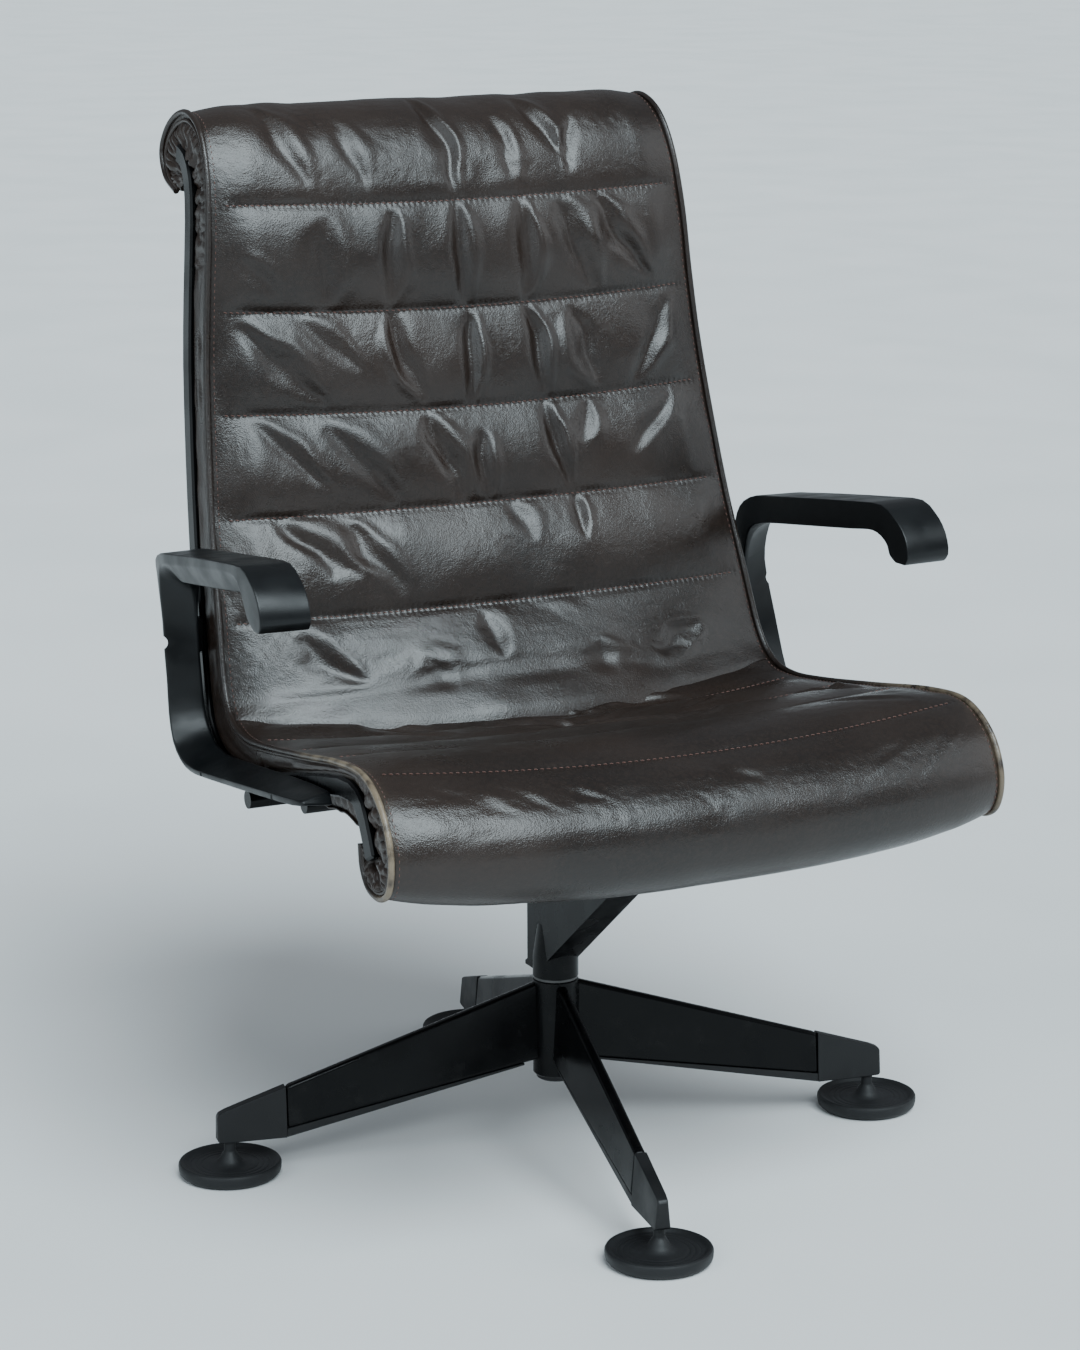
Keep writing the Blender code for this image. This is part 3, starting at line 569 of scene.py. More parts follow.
class Cushion:
    """A quilted cover with padding behind it, on a grid of rows along the seam outline.

    edge_lift, crown, sag and depth are (distance, value) pairs: how far the cover stands off the
    outline at its edges, how much farther in the middle, how far its rows hang down in the middle,
    and how far behind the outline the padding ends. belly is the rise of each panel.
    """

    def __init__(self, start, seams, end, edge_lift, crown, sag, depth, belly):
        self.s, marks = row_places([start, *seams, end])
        self.seam_rows = marks[1:-1]
        self.u = np.linspace(-1, 1, 2 * round(SEAT_HALF / CELL) + 1)
        self.edge_lift, self.crown, self.sag, self.depth = map(curve_of, (edge_lift, crown, sag, depth))
        self.belly = belly
        self.points = self.shape()

    def inside(self, points):
        """Distance in from the side edge."""
        return half_width(points[..., 1:]) - np.abs(points[..., 0])

    def panels(self):
        """First and last row of each panel between seams, and before the first and after the last."""
        bounds = [0, *self.seam_rows, len(self.s) - 1]
        return list(zip(bounds, bounds[1:]))

    def panel_arc(self):
        """Each row's rise above the seams: panels meet at a sharp crease and hang a little low."""
        arc = np.zeros(len(self.s))
        panels = self.panels()
        for number, (low, high) in enumerate(panels):
            s = self.s[low:high + 1]
            if 0 < number < len(panels) - 1:
                t = np.linspace(0, 1, len(s))
                arc[low:high + 1] = np.sin(math.pi * t ** 1.15) ** 0.72
            else:
                seam = s[0] if number else s[-1]
                arc[low:high + 1] = END_RISE * (1 - np.exp(-np.abs(s - seam) / END_REACH))
        return arc

    def shape(self):
        """The cover before it is sewn: rows across the outline, with a bulge between the seams."""
        u = self.u[None, :]
        s = self.s[:, None]
        place = s + self.sag(s) * (1 - u * u)
        yz = SEAM.at(place)
        half = half_width(yz) - COVER_EDGE
        edge = (1 - np.abs(u)) * half
        sewn = ease((edge - SEAM_MARGIN + 0.014) / 0.045)
        lift = self.edge_lift(s) + self.crown(s) * (1 - np.abs(u) ** 2.4)
        lift = lift + 0.0030 * (1 - np.exp(-edge / 0.006)) - 0.0015
        lift = lift + self.belly * self.panel_arc()[:, None] * sewn
        yz = yz + lift[..., None] * SEAM.outward(place)
        return joined(u * half, yz)

    def simulate(self, spare_across, spare_along, seeds, **rules):
        """Sews the seams and edges down, seeds the folds and lets the leather settle."""
        grid = self.points + seeds[..., None] * grid_normals(self.points)
        pinned = np.zeros(grid.shape[:2], bool)
        pinned[0] = pinned[-1] = True
        pinned[:, 0] = pinned[:, -1] = True
        for row in self.seam_rows:
            pinned[row] |= self.inside(self.points[row]) > SEAM_MARGIN
        grid[pinned] = self.points[pinned]
        pattern = cut_pattern(self.points, spare_across, spare_along)
        self.points = puffed(grid, pinned, pattern, **rules)

    def refine(self):
        """One subdivision of the grid, both ways."""
        self.points = np.swapaxes(doubled(np.swapaxes(doubled(self.points), 0, 1)), 0, 1)
        self.s = doubled(self.s)
        self.u = doubled(self.u)
        self.seam_rows = [2 * row for row in self.seam_rows]
        self.normals = grid_normals(self.points)

    def sample(self, row, column):
        """Point and normal of the cover at fractional rows and columns."""
        row = np.clip(row, 0, len(self.s) - 1.001)
        column = np.clip(column, 0, len(self.u) - 1.001)
        j, i = row.astype(int), column.astype(int)
        a, b = (row - j)[:, None], (column - i)[:, None]
        return [blend(values, j, i, a, b) for values in (self.points, self.normals)]

    def faces(self):
        """The cover's faces, then the flat back, the two sides and the two ends."""
        rows, columns = self.points.shape[:2]
        left, right = rows * columns, rows * columns + rows
        faces = grid_faces(rows, columns)
        for j in range(rows - 1):
            faces.append((left + j, left + j + 1, right + j + 1, right + j))
            faces.append((j * columns, (j + 1) * columns, left + j + 1, left + j))
            faces.append(((j + 1) * columns - 1, right + j, right + j + 1, (j + 2) * columns - 1))
        faces.append((*range(columns), right, left))
        faces.append((*range((rows - 1) * columns, rows * columns), right + rows - 1, left + rows - 1))
        return faces

    def seam_near(self):
        """1 on the sewn part of a seam, fading out a few millimetres from it; it places the puckers and the
        painted shade along the seams.
        """
        gap = np.min([np.abs(self.s - self.s[k]) for k in self.seam_rows], axis=0)
        sewn = ease((self.inside(self.points) - SEAM_MARGIN + 0.004) / 0.004)
        return np.exp(-(gap[:, None] / PUCKER_REACH) ** 2) * sewn

    def build(self, name, material, worn=0.0):
        """A closed body: the cover in front, straight padding behind."""
        yz = SEAM.at(self.s)
        half = half_width(yz) - COVER_EDGE - 0.002
        behind = yz - self.depth(self.s)[:, None] * SEAM.outward(self.s)
        points = np.vstack([self.points.reshape(-1, 3), joined(-half, behind), joined(half, behind)])
        item = closed_body(name, points, self.faces(), 55, material)
        cover = self.points.shape[:2]
        phase = self.points[..., 0] * 2 * math.pi / STITCH_PITCH
        for label, values in (("seam_near", self.seam_near()), ("stitch_phase", phase), ("worn", worn)):
            full = np.zeros(len(points))
            full[:cover[0] * cover[1]] = np.broadcast_to(values, cover).ravel()
            set_values(item, label, full)
        return item


def soft_noise(shape, cell_rows, cell_columns, seed):
    """Smooth random heights between -1 and 1, on a coarse grid stretched over the shape."""
    coarse = (shape[0] // cell_rows + 3, shape[1] // cell_columns + 3)
    draws = np.random.default_rng(seed).uniform(-1, 1, coarse)
    rows = np.linspace(0, draws.shape[0] - 1.001, shape[0])
    columns = np.linspace(0, draws.shape[1] - 1.001, shape[1])
    j, i = rows.astype(int)[:, None], columns.astype(int)[None, :]
    a, b = ease(rows[:, None] - j), ease(columns[None, :] - i)
    return blend(draws, j, i, a, b)


def folds(cushion, marks):
    """Heights of the folds in a cover, from a list of marks for each panel.

    A mark is (x and share of the panel at one end, the same at the other end, width, depth), its
    lengths in millimetres: a valley that is narrow at both ends, with a ridge on its right, or on
    its left if the width is negative.
    """
    size = cushion.points.shape[:2]
    x = cushion.points[..., 0] + 0.006 * soft_noise(size, 6, 6, 41)
    s = cushion.s[:, None] + 0.006 * soft_noise(size, 5, 8, 43)
    height = np.zeros_like(x)
    for rows, panel_marks in zip(cushion.panels(), marks):
        low, high = (cushion.s[row] for row in rows)
        for mark in panel_marks:
            x_a, x_b, width, depth = (mark[k] / 1000 for k in (0, 2, 4, 5))
            s_a, s_b = low + mark[1] * (high - low), low + mark[3] * (high - low)
            run = math.hypot(x_b - x_a, s_b - s_a)
            t = ((x - x_a) * (x_b - x_a) + (s - s_a) * (s_b - s_a)) / run ** 2
            aside = ((x - x_a) * (s_b - s_a) - (s - s_a) * (x_b - x_a)) / run
            belly = np.sin(math.pi * np.clip(t, 0, 1)) ** 0.8
            a = aside / (width * (0.35 + 0.65 * belly))
            height += depth * belly * (0.55 * np.exp(-((a - 1.45) / 0.75) ** 2) - np.exp(-a * a))
    return height


# Distances along the seam outline of the back's seams, its low end and the head roll's front
SEAM_S = [float(on_back(z)) for z in BACK_SEAMS]
LOW_BACK = float(on_back(0.490))
ROLL_FRONT = SEAM.nearest(0.248, 0.988, CREST - 0.01)

# The back, with the head roll: puffed panels that bulge most above the seat
BACK_END = CREASE + 0.006
back = Cushion(
    start=0.0, seams=SEAM_S, end=BACK_END,
    edge_lift=[(0, 0), (CREASE - 0.030, 0), (CREASE - 0.008, -0.003), (BACK_END, -0.012)],
    crown=zip([0, CREST, ROLL_FRONT, *SEAM_S, LOW_BACK, CREASE - 0.005, BACK_END],
              [0, -0.001, 0.007, 0.013, 0.015, 0.018, 0.018, 0.021, 0.028, 0.004, -0.032]),
    sag=zip([0, CREST, *SEAM_S, LOW_BACK, CREASE, BACK_END],
            [0, 0, 0.008, 0.0105, 0.012, 0.007, 0.008, 0.024, 0.062, 0.065]),
    depth=[(0, 0.016), (CREST, 0.016), (SEAM_S[0], 0.024), (SEAM_S[1], 0.029), (CREASE, 0.029)],
    belly=0.0105)

# Distances of the seat's seams, and of five places round the front roll
SEAT_S = [float(on_seat(y)) for y in SEAT_SEAMS]
FRONT = [SEAM.nearest(y / 1000, z / 1000, SEAT_S[-1]) for y, z in SEAM_OUTLINE[21:26]]

# The seat, with the front roll: dished at the rear, bowed forward at the front
SEAT_START = CREASE - 0.012
seat = Cushion(
    start=SEAT_START, seams=SEAT_S, end=SEAM.length,
    edge_lift=[(SEAT_START, -0.014), (CREASE + 0.008, -0.003), (CREASE + 0.03, 0), (SEAM.length, 0)],
    crown=zip([SEAT_START, CREASE + 0.03, *SEAT_S[1:], *FRONT, SEAM.length],
              [-0.008, -0.014, -0.013, -0.011, -0.007, 0.008, 0.024, 0.028, 0.024, 0.008, 0]),
    sag=zip([SEAT_START, CREASE + 0.03, *SEAT_S[1:], *FRONT[:2], SEAM.length],
            [0.040, 0.024, 0.004, 0.006, 0.026, 0.012, 0, 0]),
    depth=[(SEAT_START, 0.029), (SEAT_S[2], 0.029), (SEAT_S[3], 0.024), (FRONT[0], 0.018),
           (SEAM.length, 0.014)],
    belly=0.0055)

# Marks of the folds, one row of the list for each panel; see folds
BACK_FOLDS = [
    [(-18, 0.55, 2, 1, 8, 6), (92, 0.6, 132, 0.92, 9, 5), (150, 0.72, 128, 0.95, -7, 4),
     (-200, 0.6, -160, 0.97, 12, 4), (-120, 0.7, -98, 0.95, 10, 3), (60, 0.7, 64, 0.97, 8, 3)],  # head roll
    [(-153, 0.1, -160, 1.05, 20, 6), (-78, 0.05, -83, 1, 10, 7), (0, 0.02, -4, 1, 9, 7),
     (69, 0, 71, 0.95, 10, 8), (113, 0.05, 150, 0.95, 16, 7), (152, 0.03, 222, 0.9, 11, 6),
     (-245, 0.5, -205, 0.85, 10, 3)],  # first panel under it
    [(-82, 0, -60, 0.95, -10, 8), (3, 0, 2, 0.97, 9, 8), (72, 0, 78, 0.98, 9, 8),
     (122, 0.05, 156, 0.92, -17, 7), (246, 0.15, 186, 0.98, 12, 5), (-252, 0.1, -165, 0.92, 14, 6),
     (-190, 0.05, -120, 0.6, 10, 3)],  # second panel
    [(-55, 0.06, -20, 0.96, 14, 8), (2, 0.25, 6, 0.98, 10, 6), (75, 0, 100, 0.98, 9, 8),
     (135, 0.06, 118, 0.5, 10, 4), (-171, 0.15, -96, 0.9, 18, 6), (-245, 0.1, -170, 0.75, 12, 5),
     (240, 0.05, 170, 0.7, 12, 4)],  # third panel
    [(-230, 0.02, -150, 0.7, 14, 6), (-165, 0.1, -105, 0.85, 13, 5), (108, 0.02, 110, 0.45, 7, 5),
     (30, 0, 45, 0.45, 10, 3)],  # fourth panel
    [(-250, 0.1, -165, 0.75, 16, 6), (-20, 0, -18, 0.65, 16, 4), (165, 0.76, 226, 0.34, -11, 4.5),
     (-110, 0.3, -80, 0.85, 14, 3), (90, 0.45, 100, 0.85, 12, 3)],  # below the last seam
]
SEAT_FOLDS = [
    [(-60, 0.35, 60, 0.95, 9, 5), (80, 0.4, 170, 0.9, 9, 5), (130, 0.3, 20, 0.85, 8, 4),
     (-190, 0.45, -110, 0.95, 10, 4)],  # behind the first seam
    [(-130, 0.1, 20, 0.9, 10, 7), (120, 0.05, -30, 0.95, 10, 7), (-210, 0.2, -120, 0.8, 10, 5),
     (200, 0.2, 120, 0.85, 9, 5)],  # first panel
    [(-60, 0.05, 80, 0.75, 9, 6), (150, 0.1, 60, 0.8, 9, 5), (235, 0.05, 290, 0.7, 10, 6),
     (285, 0.05, 250, 0.5, 8, 4)],  # second panel
    [(200, 0.3, 265, 0.7, 10, 2), (-200, 0.3, -150, 0.8, 12, 2)],  # third panel
    [(-270, 0.12, -200, 0.3, 8, 1.4), (-230, 0.1, -150, 0.32, 7, 1.2),
     (-170, 0.12, -100, 0.33, 7, 1.2), (10, 0.14, 60, 0.32, 8, 1.2), (240, 0.12, 160, 0.36, 9, 1.4),
     (285, 0.14, 215, 0.4, 9, 1.4)],  # front roll
]


def spare(cushion, amount, taut_after=10.0):
    """Spare leather, fading out towards the side edges and past a distance along the outline."""
    slack = 0.15 + 0.85 * ease((taut_after - cushion.s) / 0.05)
    return amount * slack[:, None] * ease(cushion.inside(cushion.points) / 0.020)


back.simulate(spare(back, 0.030), spare(back, 0.020),
              folds(back, BACK_FOLDS) + 0.0012 * soft_noise(back.points.shape[:2], 7, 7, 3))
seat.simulate(spare(seat, 0.018, SEAT_S[3]), spare(seat, 0.012, SEAT_S[3]),
              folds(seat, SEAT_FOLDS) + 0.0008 * soft_noise(seat.points.shape[:2], 6, 9, 5), pressure=3.0)
for cushion in (back, seat):
    cushion.refine()


def seat_wear(cushion):
    """Rubbed leather along the edges of the front roll."""
    near_edge = 0.6 * np.exp(-cushion.inside(cushion.points) / 0.0045)
    at_front = ease((cushion.s - SEAT_S[2]) / 0.08) * ease((FRONT[2] - cushion.s) / 0.05)
    return near_edge * at_front[:, None]


def fit_cushions():
    """Builds both cushions over the frame's pads."""
    back_cushion = back.build("back_cushion", LEATHER)
    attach(back_cushion, "seat")
    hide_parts("back_pad", "top_roll")
    seat_cushion = seat.build("seat_cushion", LEATHER, seat_wear(seat))
    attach(seat_cushion, "seat")
    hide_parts("seat_pad", "front_roll")


fit_cushions()


# ---- stitches

STITCH_ENDS = -0.0008  # how deep a stitch dips into the leather at its ends


def stitches(name, path, normals, length=0.0043, thick=0.00052, lift=0.0004, lean=0.0):
    """A row of thread stitches along a path; each dips into the leather at both ends."""
    reach = distances(path)
    stations = np.array([0.0, 0.2, 0.5, 0.8, 1.0])
    heights = np.array([STITCH_ENDS, 0.35 * lift, lift, 0.35 * lift, STITCH_ENDS])
    radii = thick * np.array([0.5, 0.9, 1.0, 0.9, 0.5])
    sides = 6
    points, faces = [], []
    for start in np.arange(0.001, reach[-1] - length, STITCH_PITCH):
        s = start + stations * length
        centre = read_at(s, reach, path)
        up = read_at(s, reach, normals)
        run = centre[-1] - centre[0]
        sideways = np.cross(unit(run), up[2])
        centre = centre + heights[:, None] * up + ((stations - 0.5) * lean)[:, None] * sideways
        rings = tube_points(centre, radii, sides, sideways)
        faces.extend(tube_faces(len(stations), sides, start=len(points)))
        points.extend(rings.reshape(-1, 3))
    item = closed_body(name, points, faces, 60, THREAD)
    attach(item, "seat")


def stitch_seams(cushion, label):
    """Slanted stitches along each seam."""
    columns = np.linspace(0, len(cushion.u) - 1, 400)
    for number, row in enumerate(cushion.seam_rows, 1):
        path, normals = cushion.sample(np.full(len(columns), float(row)), columns)
        kept = cushion.inside(path) > SEAM_MARGIN
        stitches(f"{label}_seam_{number}", path[kept], normals[kept], lean=0.0011)


def stitch_edges(cushion, label, inset=0.0095):
    """Topstitching beside the piping on both edges."""
    rows = np.linspace(2, len(cushion.s) - 3, 700)
    s = np.interp(rows, np.arange(len(cushion.s)), cushion.s)
    yz = SEAM.at(s)
    share = 1 - (inset - COVER_EDGE) / half_width(yz)
    for side, name in SIDES:
        columns = (1 + side * share) / 2 * (len(cushion.u) - 1)
        path, normals = cushion.sample(rows, columns)
        stitches(f"{label}_topstitch_{name}", path, normals, length=0.0036, thick=0.00040, lift=0.0003)


for cushion, label in ((back, "back"), (seat, "seat")):
    stitch_seams(cushion, label)
    stitch_edges(cushion, label)


# ---- piping and side strips

class SideStrip:
    """Leather between the piping and the rail; it is gathered into the middle of each roll's end."""

    TUCKED = 0.0125  # inset beside the rail's inner face
    UNTUCKED = 0.003  # the gathers start this much farther out
    PUFFED = 0.0042  # inset where the leather stands free of the rail
    FINE_STEP = 0.0012  # spacing of the rows round the rolls
    COARSE_STEP = 0.005
    FOLD_PITCH = 0.034  # of the deep folds that meet at the rail's end
    PUCKER_PITCH = 0.0115  # of the small puckers beside the piping

    def __init__(self, columns=44):
        even = np.linspace(0, SEAM.length, 460)
        edge = SEAM.at(even)
        gaps = np.linalg.norm(edge[:, None] - RAIL.points[None], axis=-1)
        index = np.maximum.accumulate(np.argmin(gaps, axis=1)).astype(float)
        soft = np.convolve(np.pad(index, 12, mode="edge"), np.ones(25) / 25, mode="valid")
        straight = (ROLL_FRONT + 0.10, SEAT_S[3] - 0.02)
        last = SEAM.length - self.FINE_STEP / 2
        self.s = np.concatenate([np.arange(0, straight[0], self.FINE_STEP),
                                 np.arange(*straight, self.COARSE_STEP),
                                 np.arange(straight[1], last, self.FINE_STEP), [SEAM.length]])
        self.edge = SEAM.at(self.s)
        nearest = np.interp(np.interp(self.s, even, soft), np.arange(len(RAIL.points)), RAIL.reach)
        self.foot = RAIL.at(nearest)
        self.reach = np.linalg.norm(self.edge - self.foot, axis=1)
        self.share = np.linspace(0.03, 1.0, columns)
        self.size = (len(self.s), columns)
        self.gather = 1 - ease((self.s - ROLL_FRONT) / 0.10) + ease((self.s - SEAT_S[3] + 0.01) / 0.06)

    def places(self, share):
        """(y, z) at a share of the way from the rail to the piping."""
        return self.foot + share * (self.edge - self.foot)

    def gathers(self, pitch, uneven, bend, seed):
        """Round ridges with sharp valleys between them, unevenly spaced and curved; 0 to 1."""
        cell = max(2, round(1.3 * pitch / self.FINE_STEP))
        wander = uneven * soft_noise((self.size[0], 1), cell, 1, seed)
        wander = wander + bend * soft_noise(self.size, cell, 12, seed + 1)
        turn = math.pi * (self.s[:, None] / pitch + wander)
        rise = 0.70 + 0.30 * soft_noise(self.size, cell, 16, seed + 2)
        return rise * np.abs(np.sin(turn)) ** 0.75

    def grid(self, side, seed):
        share = self.share[None, :]
        yz = self.foot[:, None] + share[..., None] * (self.edge - self.foot)[:, None]
        half = half_width(yz)
        gather = self.gather[:, None]
        beside = share * self.reach[:, None] - RAIL_DEPTH_HALF
        free = ease((beside - 0.0004) / 0.0036)
        tucked = self.TUCKED - self.UNTUCKED * gather
        inset = tucked - (tucked - self.PUFFED) * free
        hollow = gather * 0.0012 * ease(beside / 0.004) * (1 - ease((share - 0.30) / 0.45))
        deep = 0.0072 * self.gathers(self.FOLD_PITCH, 0.42, 0.16, seed) * (1 - ease((share - 0.62) / 0.36))
        beside_piping = np.sin(math.pi * ease((share - 0.52) / 0.44))
        fine = 0.0036 * self.gathers(self.PUCKER_PITCH, 0.34, 0.05, seed + 7) * beside_piping
        crease = 0.0011 * soft_noise(self.size, 5, 9, seed + 13)
        lift = free * ease((1 - share) / 0.12) * (gather * (deep + fine - 0.0022) + crease)
        return joined(side * (half - inset - hollow + lift), yz)


BEAD_SHARE = 0.865  # place of the second bead, as a share of the way from the rail to the piping
BEAD_RADIUS = 0.0022
BEAD_INSET = 0.0030
PIPING_SIDES = 12
MOST_RUBBED = {"left": 0.9, "right": 0.6}


def make_side(strip, side, name, seed):
    """Gusset, outer piping and the second bead beside it, on one side."""
    gusset = solid_sheet(f"side_strip_{name}", strip.grid(side, seed), SIDE_THICKNESS * side, SIDE_LEATHER)
    line = joined(side * (half_width(strip.edge) - WELT_INSET), strip.edge)
    piping = tube(f"piping_{name}", line, WELT_RADIUS, ACROSS, PIPING_LEATHER, PIPING_SIDES)
    rubbed = ease((strip.s - SEAT_S[1]) / 0.12) * ease((FRONT[4] - strip.s) / 0.06) * MOST_RUBBED[name]
    set_values(piping, "worn", np.repeat(rubbed, PIPING_SIDES))
    second = strip.places(BEAD_SHARE)
    inner_line = joined(side * (half_width(second) - BEAD_INSET), second)
    bead = tube(f"piping_inner_{name}", inner_line, BEAD_RADIUS, ACROSS, SIDE_LEATHER)
    for piece in (gusset, piping, bead):
        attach(piece, "seat")
    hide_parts(f"welt_{name}")


STRIP = SideStrip()
for number, (side, name) in enumerate(SIDES):
    make_side(STRIP, side, name, 50 + 30 * number)


# ---- rear and underside covers

REAR_DEPTH = 0.0385  # how far behind the seam outline the rear leather lies
REAR_GAP = 0.0015  # between it and the rails


def rear_grid(rows=260, columns=91):
    """Leather from under the head roll, down behind the back board and in under the seat."""
    s = np.linspace(on_back(0.905), on_seat(-0.045), 26)
    path = SEAM.at(s) - REAR_DEPTH * SEAM.outward(s)
    line = Outline([(0.327, 0.9635), (0.306, 0.957), (0.2925, 0.938), *map(tuple, path)], 12)
    at = np.broadcast_to(np.linspace(0, line.length, rows)[:, None], (rows, columns))
    u = np.linspace(-1, 1, columns)[None, :]
    yz = line.at(at)
    half = half_width(yz) - RAIL_INNER - REAR_GAP
    ends = ease(at / 0.05) * ease((line.length - at) / 0.05)
    edge = (1 - np.abs(u)) * half
    lift = 0.0035 * (1 - np.abs(u) ** 4) * ends + 0.0008 * soft_noise((rows, columns), 14, 16, 21)
    lift = lift - 0.0016 * np.exp(-((edge - 0.014) / 0.0035) ** 2)
    return joined(u * half, yz - lift[..., None] * line.outward(at))


def make_rear_panel():
    """The rear leather, topstitched beside its edges."""
    grid = rear_grid()
    panel = solid_sheet("rear_panel", grid[:, ::-1], REAR_THICKNESS, BACK_LEATHER)
    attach(panel, "seat")
    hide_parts("rear_cover")
    normals = -grid_normals(grid)
    for column, name in ((4, "left"), (-5, "right")):
        stitches(f"rear_topstitch_{name}", grid[3:-3, column], normals[3:-3, column], length=0.0038,
                 thick=0.00042, lift=0.0003)


UNDER_LINE = [(-0.132, 0.4280), (-0.176, 0.4330), (-0.215, 0.4280), (-0.241, 0.4215)]
NOTCH_HALF = 0.068
NOTCH_FRONT = -0.212


def make_under_panel(rows=60, columns=81):
    """Leather between the front roll and the mechanism, notched round the bracket."""
    low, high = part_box("under_cover")
    line = Outline(UNDER_LINE)
    at = np.broadcast_to(np.linspace(0, line.length, rows)[:, None], (rows, columns))
    x = np.broadcast_to(np.linspace(low.x, high.x, columns), (rows, columns))
    dents = 0.0010 * soft_noise((rows, columns), 6, 8, 31)
    grid = joined(x, line.at(at) + dents[..., None] * line.outward(at))
    notch = ((np.abs(grid[..., 0]) < NOTCH_HALF) & (grid[..., 1] > NOTCH_FRONT)).ravel()
    kept = [face for face in grid_faces(rows, columns) if not all(notch[i] for i in face)]
    panel = solid_sheet("under_panel", grid, UNDER_THICKNESS, BACK_LEATHER, kept)
    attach(panel, "seat")
    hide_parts("under_cover")


def side_flap_grid(side, rows=50, columns=14):
    """Leather that closes the side between the rail and the underside panel."""
    y = np.linspace(-0.128, -0.246, rows)[:, None]
    share = np.linspace(0.0, 1.0, columns)[None, :]
    rail = RAIL.at(np.interp(-y[:, 0], -RAIL.points[:, 0], RAIL.reach))[:, 1][:, None]
    panel = np.interp(-y, [-place[0] for place in UNDER_LINE], [place[1] for place in UNDER_LINE])
    yz = np.stack([y + 0 * share, rail + share * (panel - rail)], -1)
    gather = 0.0016 * np.sin(2 * math.pi * y / 0.017 + 2.5 * share) * share * (1 - share) * 4
    return joined(side * (half_width(yz) - 0.0128 - 0.0035 * share + gather), yz)


make_rear_panel()
make_under_panel()
for side, name in SIDES:
    flap = solid_sheet(f"side_flap_{name}", side_flap_grid(side), SIDE_THICKNESS * side, SIDE_LEATHER)
    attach(flap, "seat")


# ---- glides

def glide_profile():
    """(radius, height) from the stem's top round the rim to the middle of the foot, in metres."""
    stem = [(0, 56), (5.4, 56), (5.8, 55.6), (5.8, 26.2), (6.4, 24.4), (7.8, 22.6), (9.4, 20.2),
            (10.8, 17.8), (12, 15.9)]
    dish = [(13.2, 14.6), (16.5, 12.7), (19, 11.9), (25, 11.6)]
    for ring in (29, 34.5, 40):  # turning marks on the dish
        dish += [(ring - 0.5, 11.4), (ring, 11.1), (ring + 0.5, 11.4)]
    rim = [(43, 11.3), (45, 12.4), (46.8, 14.1), (48.2, 14.9), (49.6, 15.1), (51, 14.3), (51.9, 12.6),
           (52, 10.5), (51.7, 7), (51.1, 4.6), (49.5, 2.6), (47, 0.6), (45.5, 0), (0, 0)]
    return [(radius / 1000, height / 1000) for radius, height in (*stem, *dish, *rim)]


def make_glide(node, segments=96):
    low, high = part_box(node)
    centre = (low + high) / 2
    profile = glide_profile()
    points = [(centre.x, centre.y, profile[0][1])]
    for radius, height in profile[1:-1]:
        for k in range(segments):
            turn = 2 * math.pi * k / segments
            points.append((centre.x + radius * math.cos(turn), centre.y + radius * math.sin(turn), height))
    points.append((centre.x, centre.y, profile[-1][1]))
    rings = len(profile) - 2
    last = len(points) - 1
    faces = grid_faces(rings, segments, wrap=True, start=1)
    for k in range(segments):
        after = (k + 1) % segments
        faces.append((0, 1 + k, 1 + after))
        faces.append((last, last - segments + after, last - segments + k))
    item = closed_body(f"disc_{node}", points, faces, 32, GLIDE_PLASTIC)
    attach(item, node)
    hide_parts(node)


for number in range(1, 5):
    make_glide(f"glide_{number}")


# ---- tilt spring

def make_spring(turns=7, per_turn=28, wire=0.0018):
    """Fine compression coil with closed ends, as tall as the frame's spring, under the tilting plate."""
    low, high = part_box("tilt_spring")
    centre = (low + high) / 2
    radius = (high.x - low.x) / 2 - wire
    count = turns * per_turn
    step = np.arange(count + 1)
    first_turn = np.minimum(1.0, step / per_turn)
    last_turn = np.maximum(0.0, (step - count + per_turn) / per_turn)
    part_way = np.clip((step - per_turn) / (count - 2 * per_turn), 0.0, 1.0)
    end_rise = 2.1 * wire
    free = high.z - low.z - 2 * wire - 2 * end_rise
    height = low.z + wire + end_rise * (first_turn + last_turn) + part_way * free
    turn = 2 * math.pi * step / per_turn
    path = np.stack([centre.x + radius * np.cos(turn), centre.y + radius * np.sin(turn), height], -1)
    coil = tube("tilt_coil", path, wire, UPWARD, SPRING_STEEL)
    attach(coil, "swivel")
    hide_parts("tilt_spring")
    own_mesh(coil)


make_spring()


# ---- frame pieces

FINISH = {
    "black_steel": ENAMEL, "black_plastic": CAP_PLASTIC, "glide_plastic": GLIDE_PLASTIC,
    "bright_steel": STEEL, "nylon": NYLON, "spring_steel": SPRING_STEEL, "rubber": RUBBER,
    "plywood": PLYWOOD, "upholstery_leather": SIDE_LEATHER, "backing_leather": BACK_LEATHER,
    "arm_skin": ARM_SKIN,
}


def finish_frame():
    """Gives each frame piece its material and smooth shading between its real edges."""
    slots = {part["node"]: part["material_slot"] for part in frame["record"]["subparts"]}
    for name, item in frame["nodes"].items():
        item.data.materials.clear()
        item.data.materials.append(FINISH[slots[name]])
        item.data.shade_smooth()
        weld = item.modifiers.new("weld", "WELD")
        weld.merge_threshold = 0.00001
        split = item.modifiers.new("edges", "EDGE_SPLIT")
        split.split_angle = math.radians(32)
        weighted = item.modifiers.new("flats", "WEIGHTED_NORMAL")
        weighted.weight = 60


finish_frame()


# ---- stage

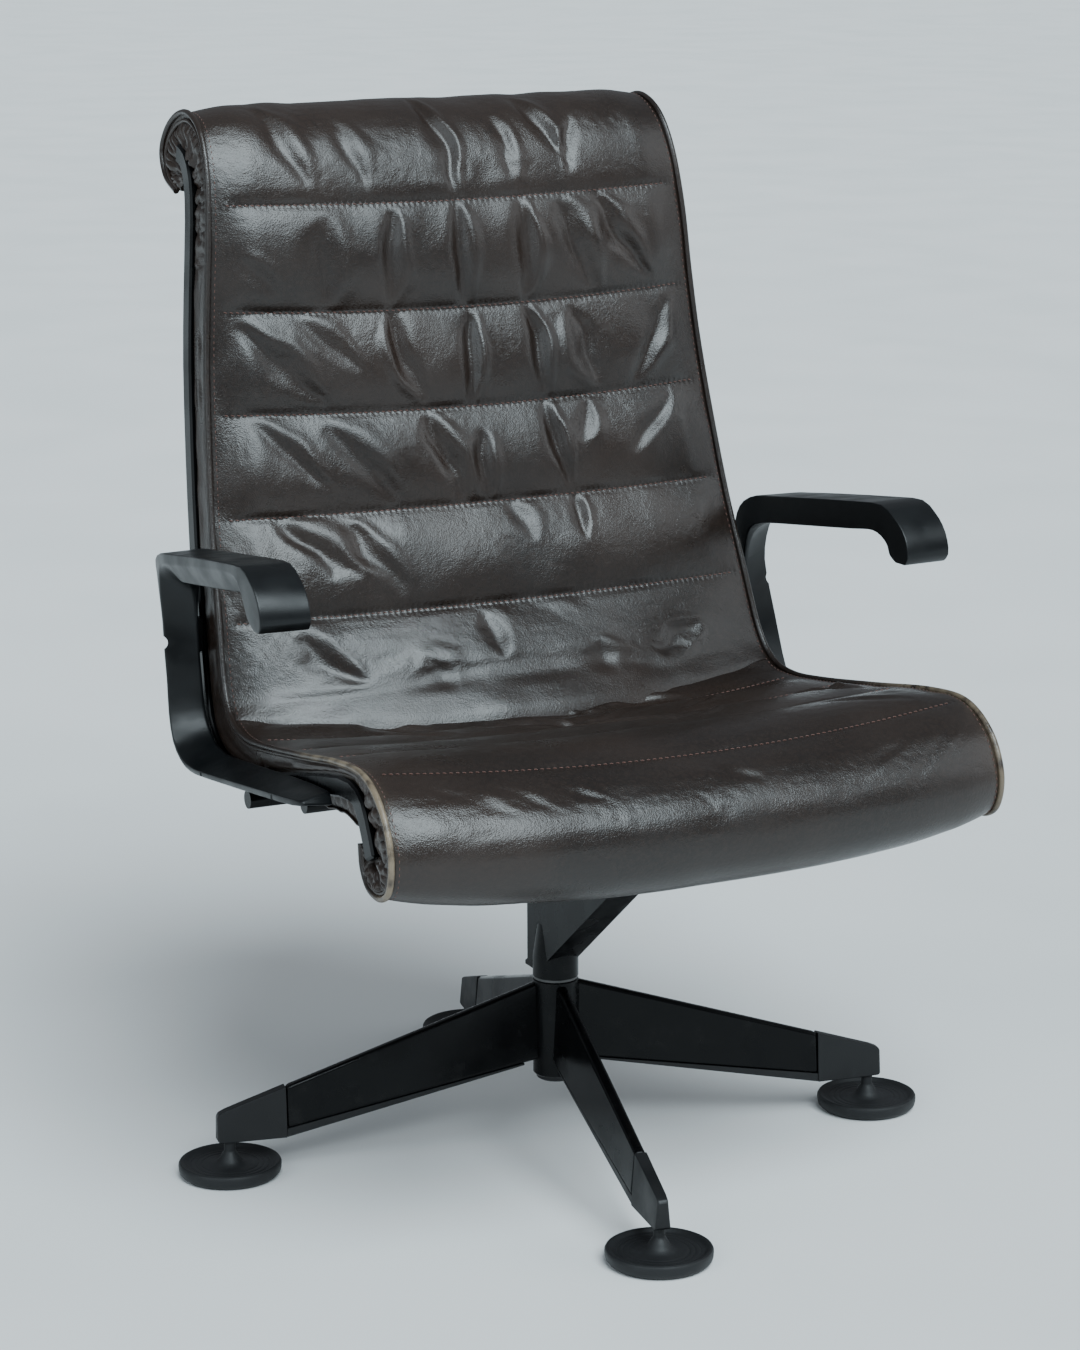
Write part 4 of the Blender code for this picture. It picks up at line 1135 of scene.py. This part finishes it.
def make_stage():
    """The pale floor and an even pale sky."""
    corners = [(-40, -40, 0), (40, -40, 0), (40, 40, 0), (-40, 40, 0)]
    floor = new_object("floor", mesh_of("floor", corners, [(0, 1, 2, 3)]))
    shader = Shader("pale_floor", (0.74, 0.75, 0.75), 0.6)
    shader.roughness(shader.band(shader.noise(3.0, 4.0), 0.3, 0.7, 0.55, 0.70))
    shader.colour(shader.mix(shader.noise(1.2, 3.0), (0.72, 0.73, 0.735), (0.77, 0.775, 0.77)))
    floor.data.materials.append(shader.material)
    world = bpy.data.worlds.new("studio")
    world.use_nodes = True
    sky = world.node_tree.nodes["Background"].inputs
    sky["Color"].default_value = (0.84, 0.92, 1.0, 1.0)
    sky["Strength"].default_value = 0.27
    SCENE.world = world


def broad_light(name, toward, strength, spread, colour):
    """A distant soft light; spread is the angle that it fills, in degrees."""
    light = bpy.data.lights.new(name, "SUN")
    light.energy = strength
    light.angle = math.radians(spread)
    light.color = colour
    item = new_object(name, light)
    item.rotation_euler = Vector(toward).to_track_quat("Z", "Y").to_euler()


def make_camera():
    """The photograph's viewpoint: in front and to the left, a little above the head roll."""
    turn, tilt, roll = math.radians(-26.12), math.radians(13.26), math.radians(0.24)
    forward = Vector((-math.sin(turn) * math.cos(tilt), math.cos(turn) * math.cos(tilt), -math.sin(tilt)))
    camera = new_object("camera", bpy.data.cameras.new("camera"))
    camera.data.lens = 97.1
    camera.data.sensor_width = 36.0
    camera.location = (-1.580, -3.189, 1.332)
    camera.rotation_mode = "QUATERNION"
    camera.rotation_quaternion = (Matrix.Rotation(roll, 3, forward)
                                  @ forward.to_track_quat("-Z", "Y").to_matrix()).to_quaternion()
    camera.data.clip_end = 200.0
    SCENE.camera = camera


make_stage()
broad_light("key", (0.03, -0.62, 0.78), 4.7, 43, (0.81, 0.94, 1.0))
broad_light("left_window", (-0.85, -0.35, 0.45), 1.05, 42, (0.80, 0.93, 1.0))
broad_light("right_window", (0.80, -0.35, 0.40), 0.50, 36, (0.88, 0.96, 1.0))
make_camera()
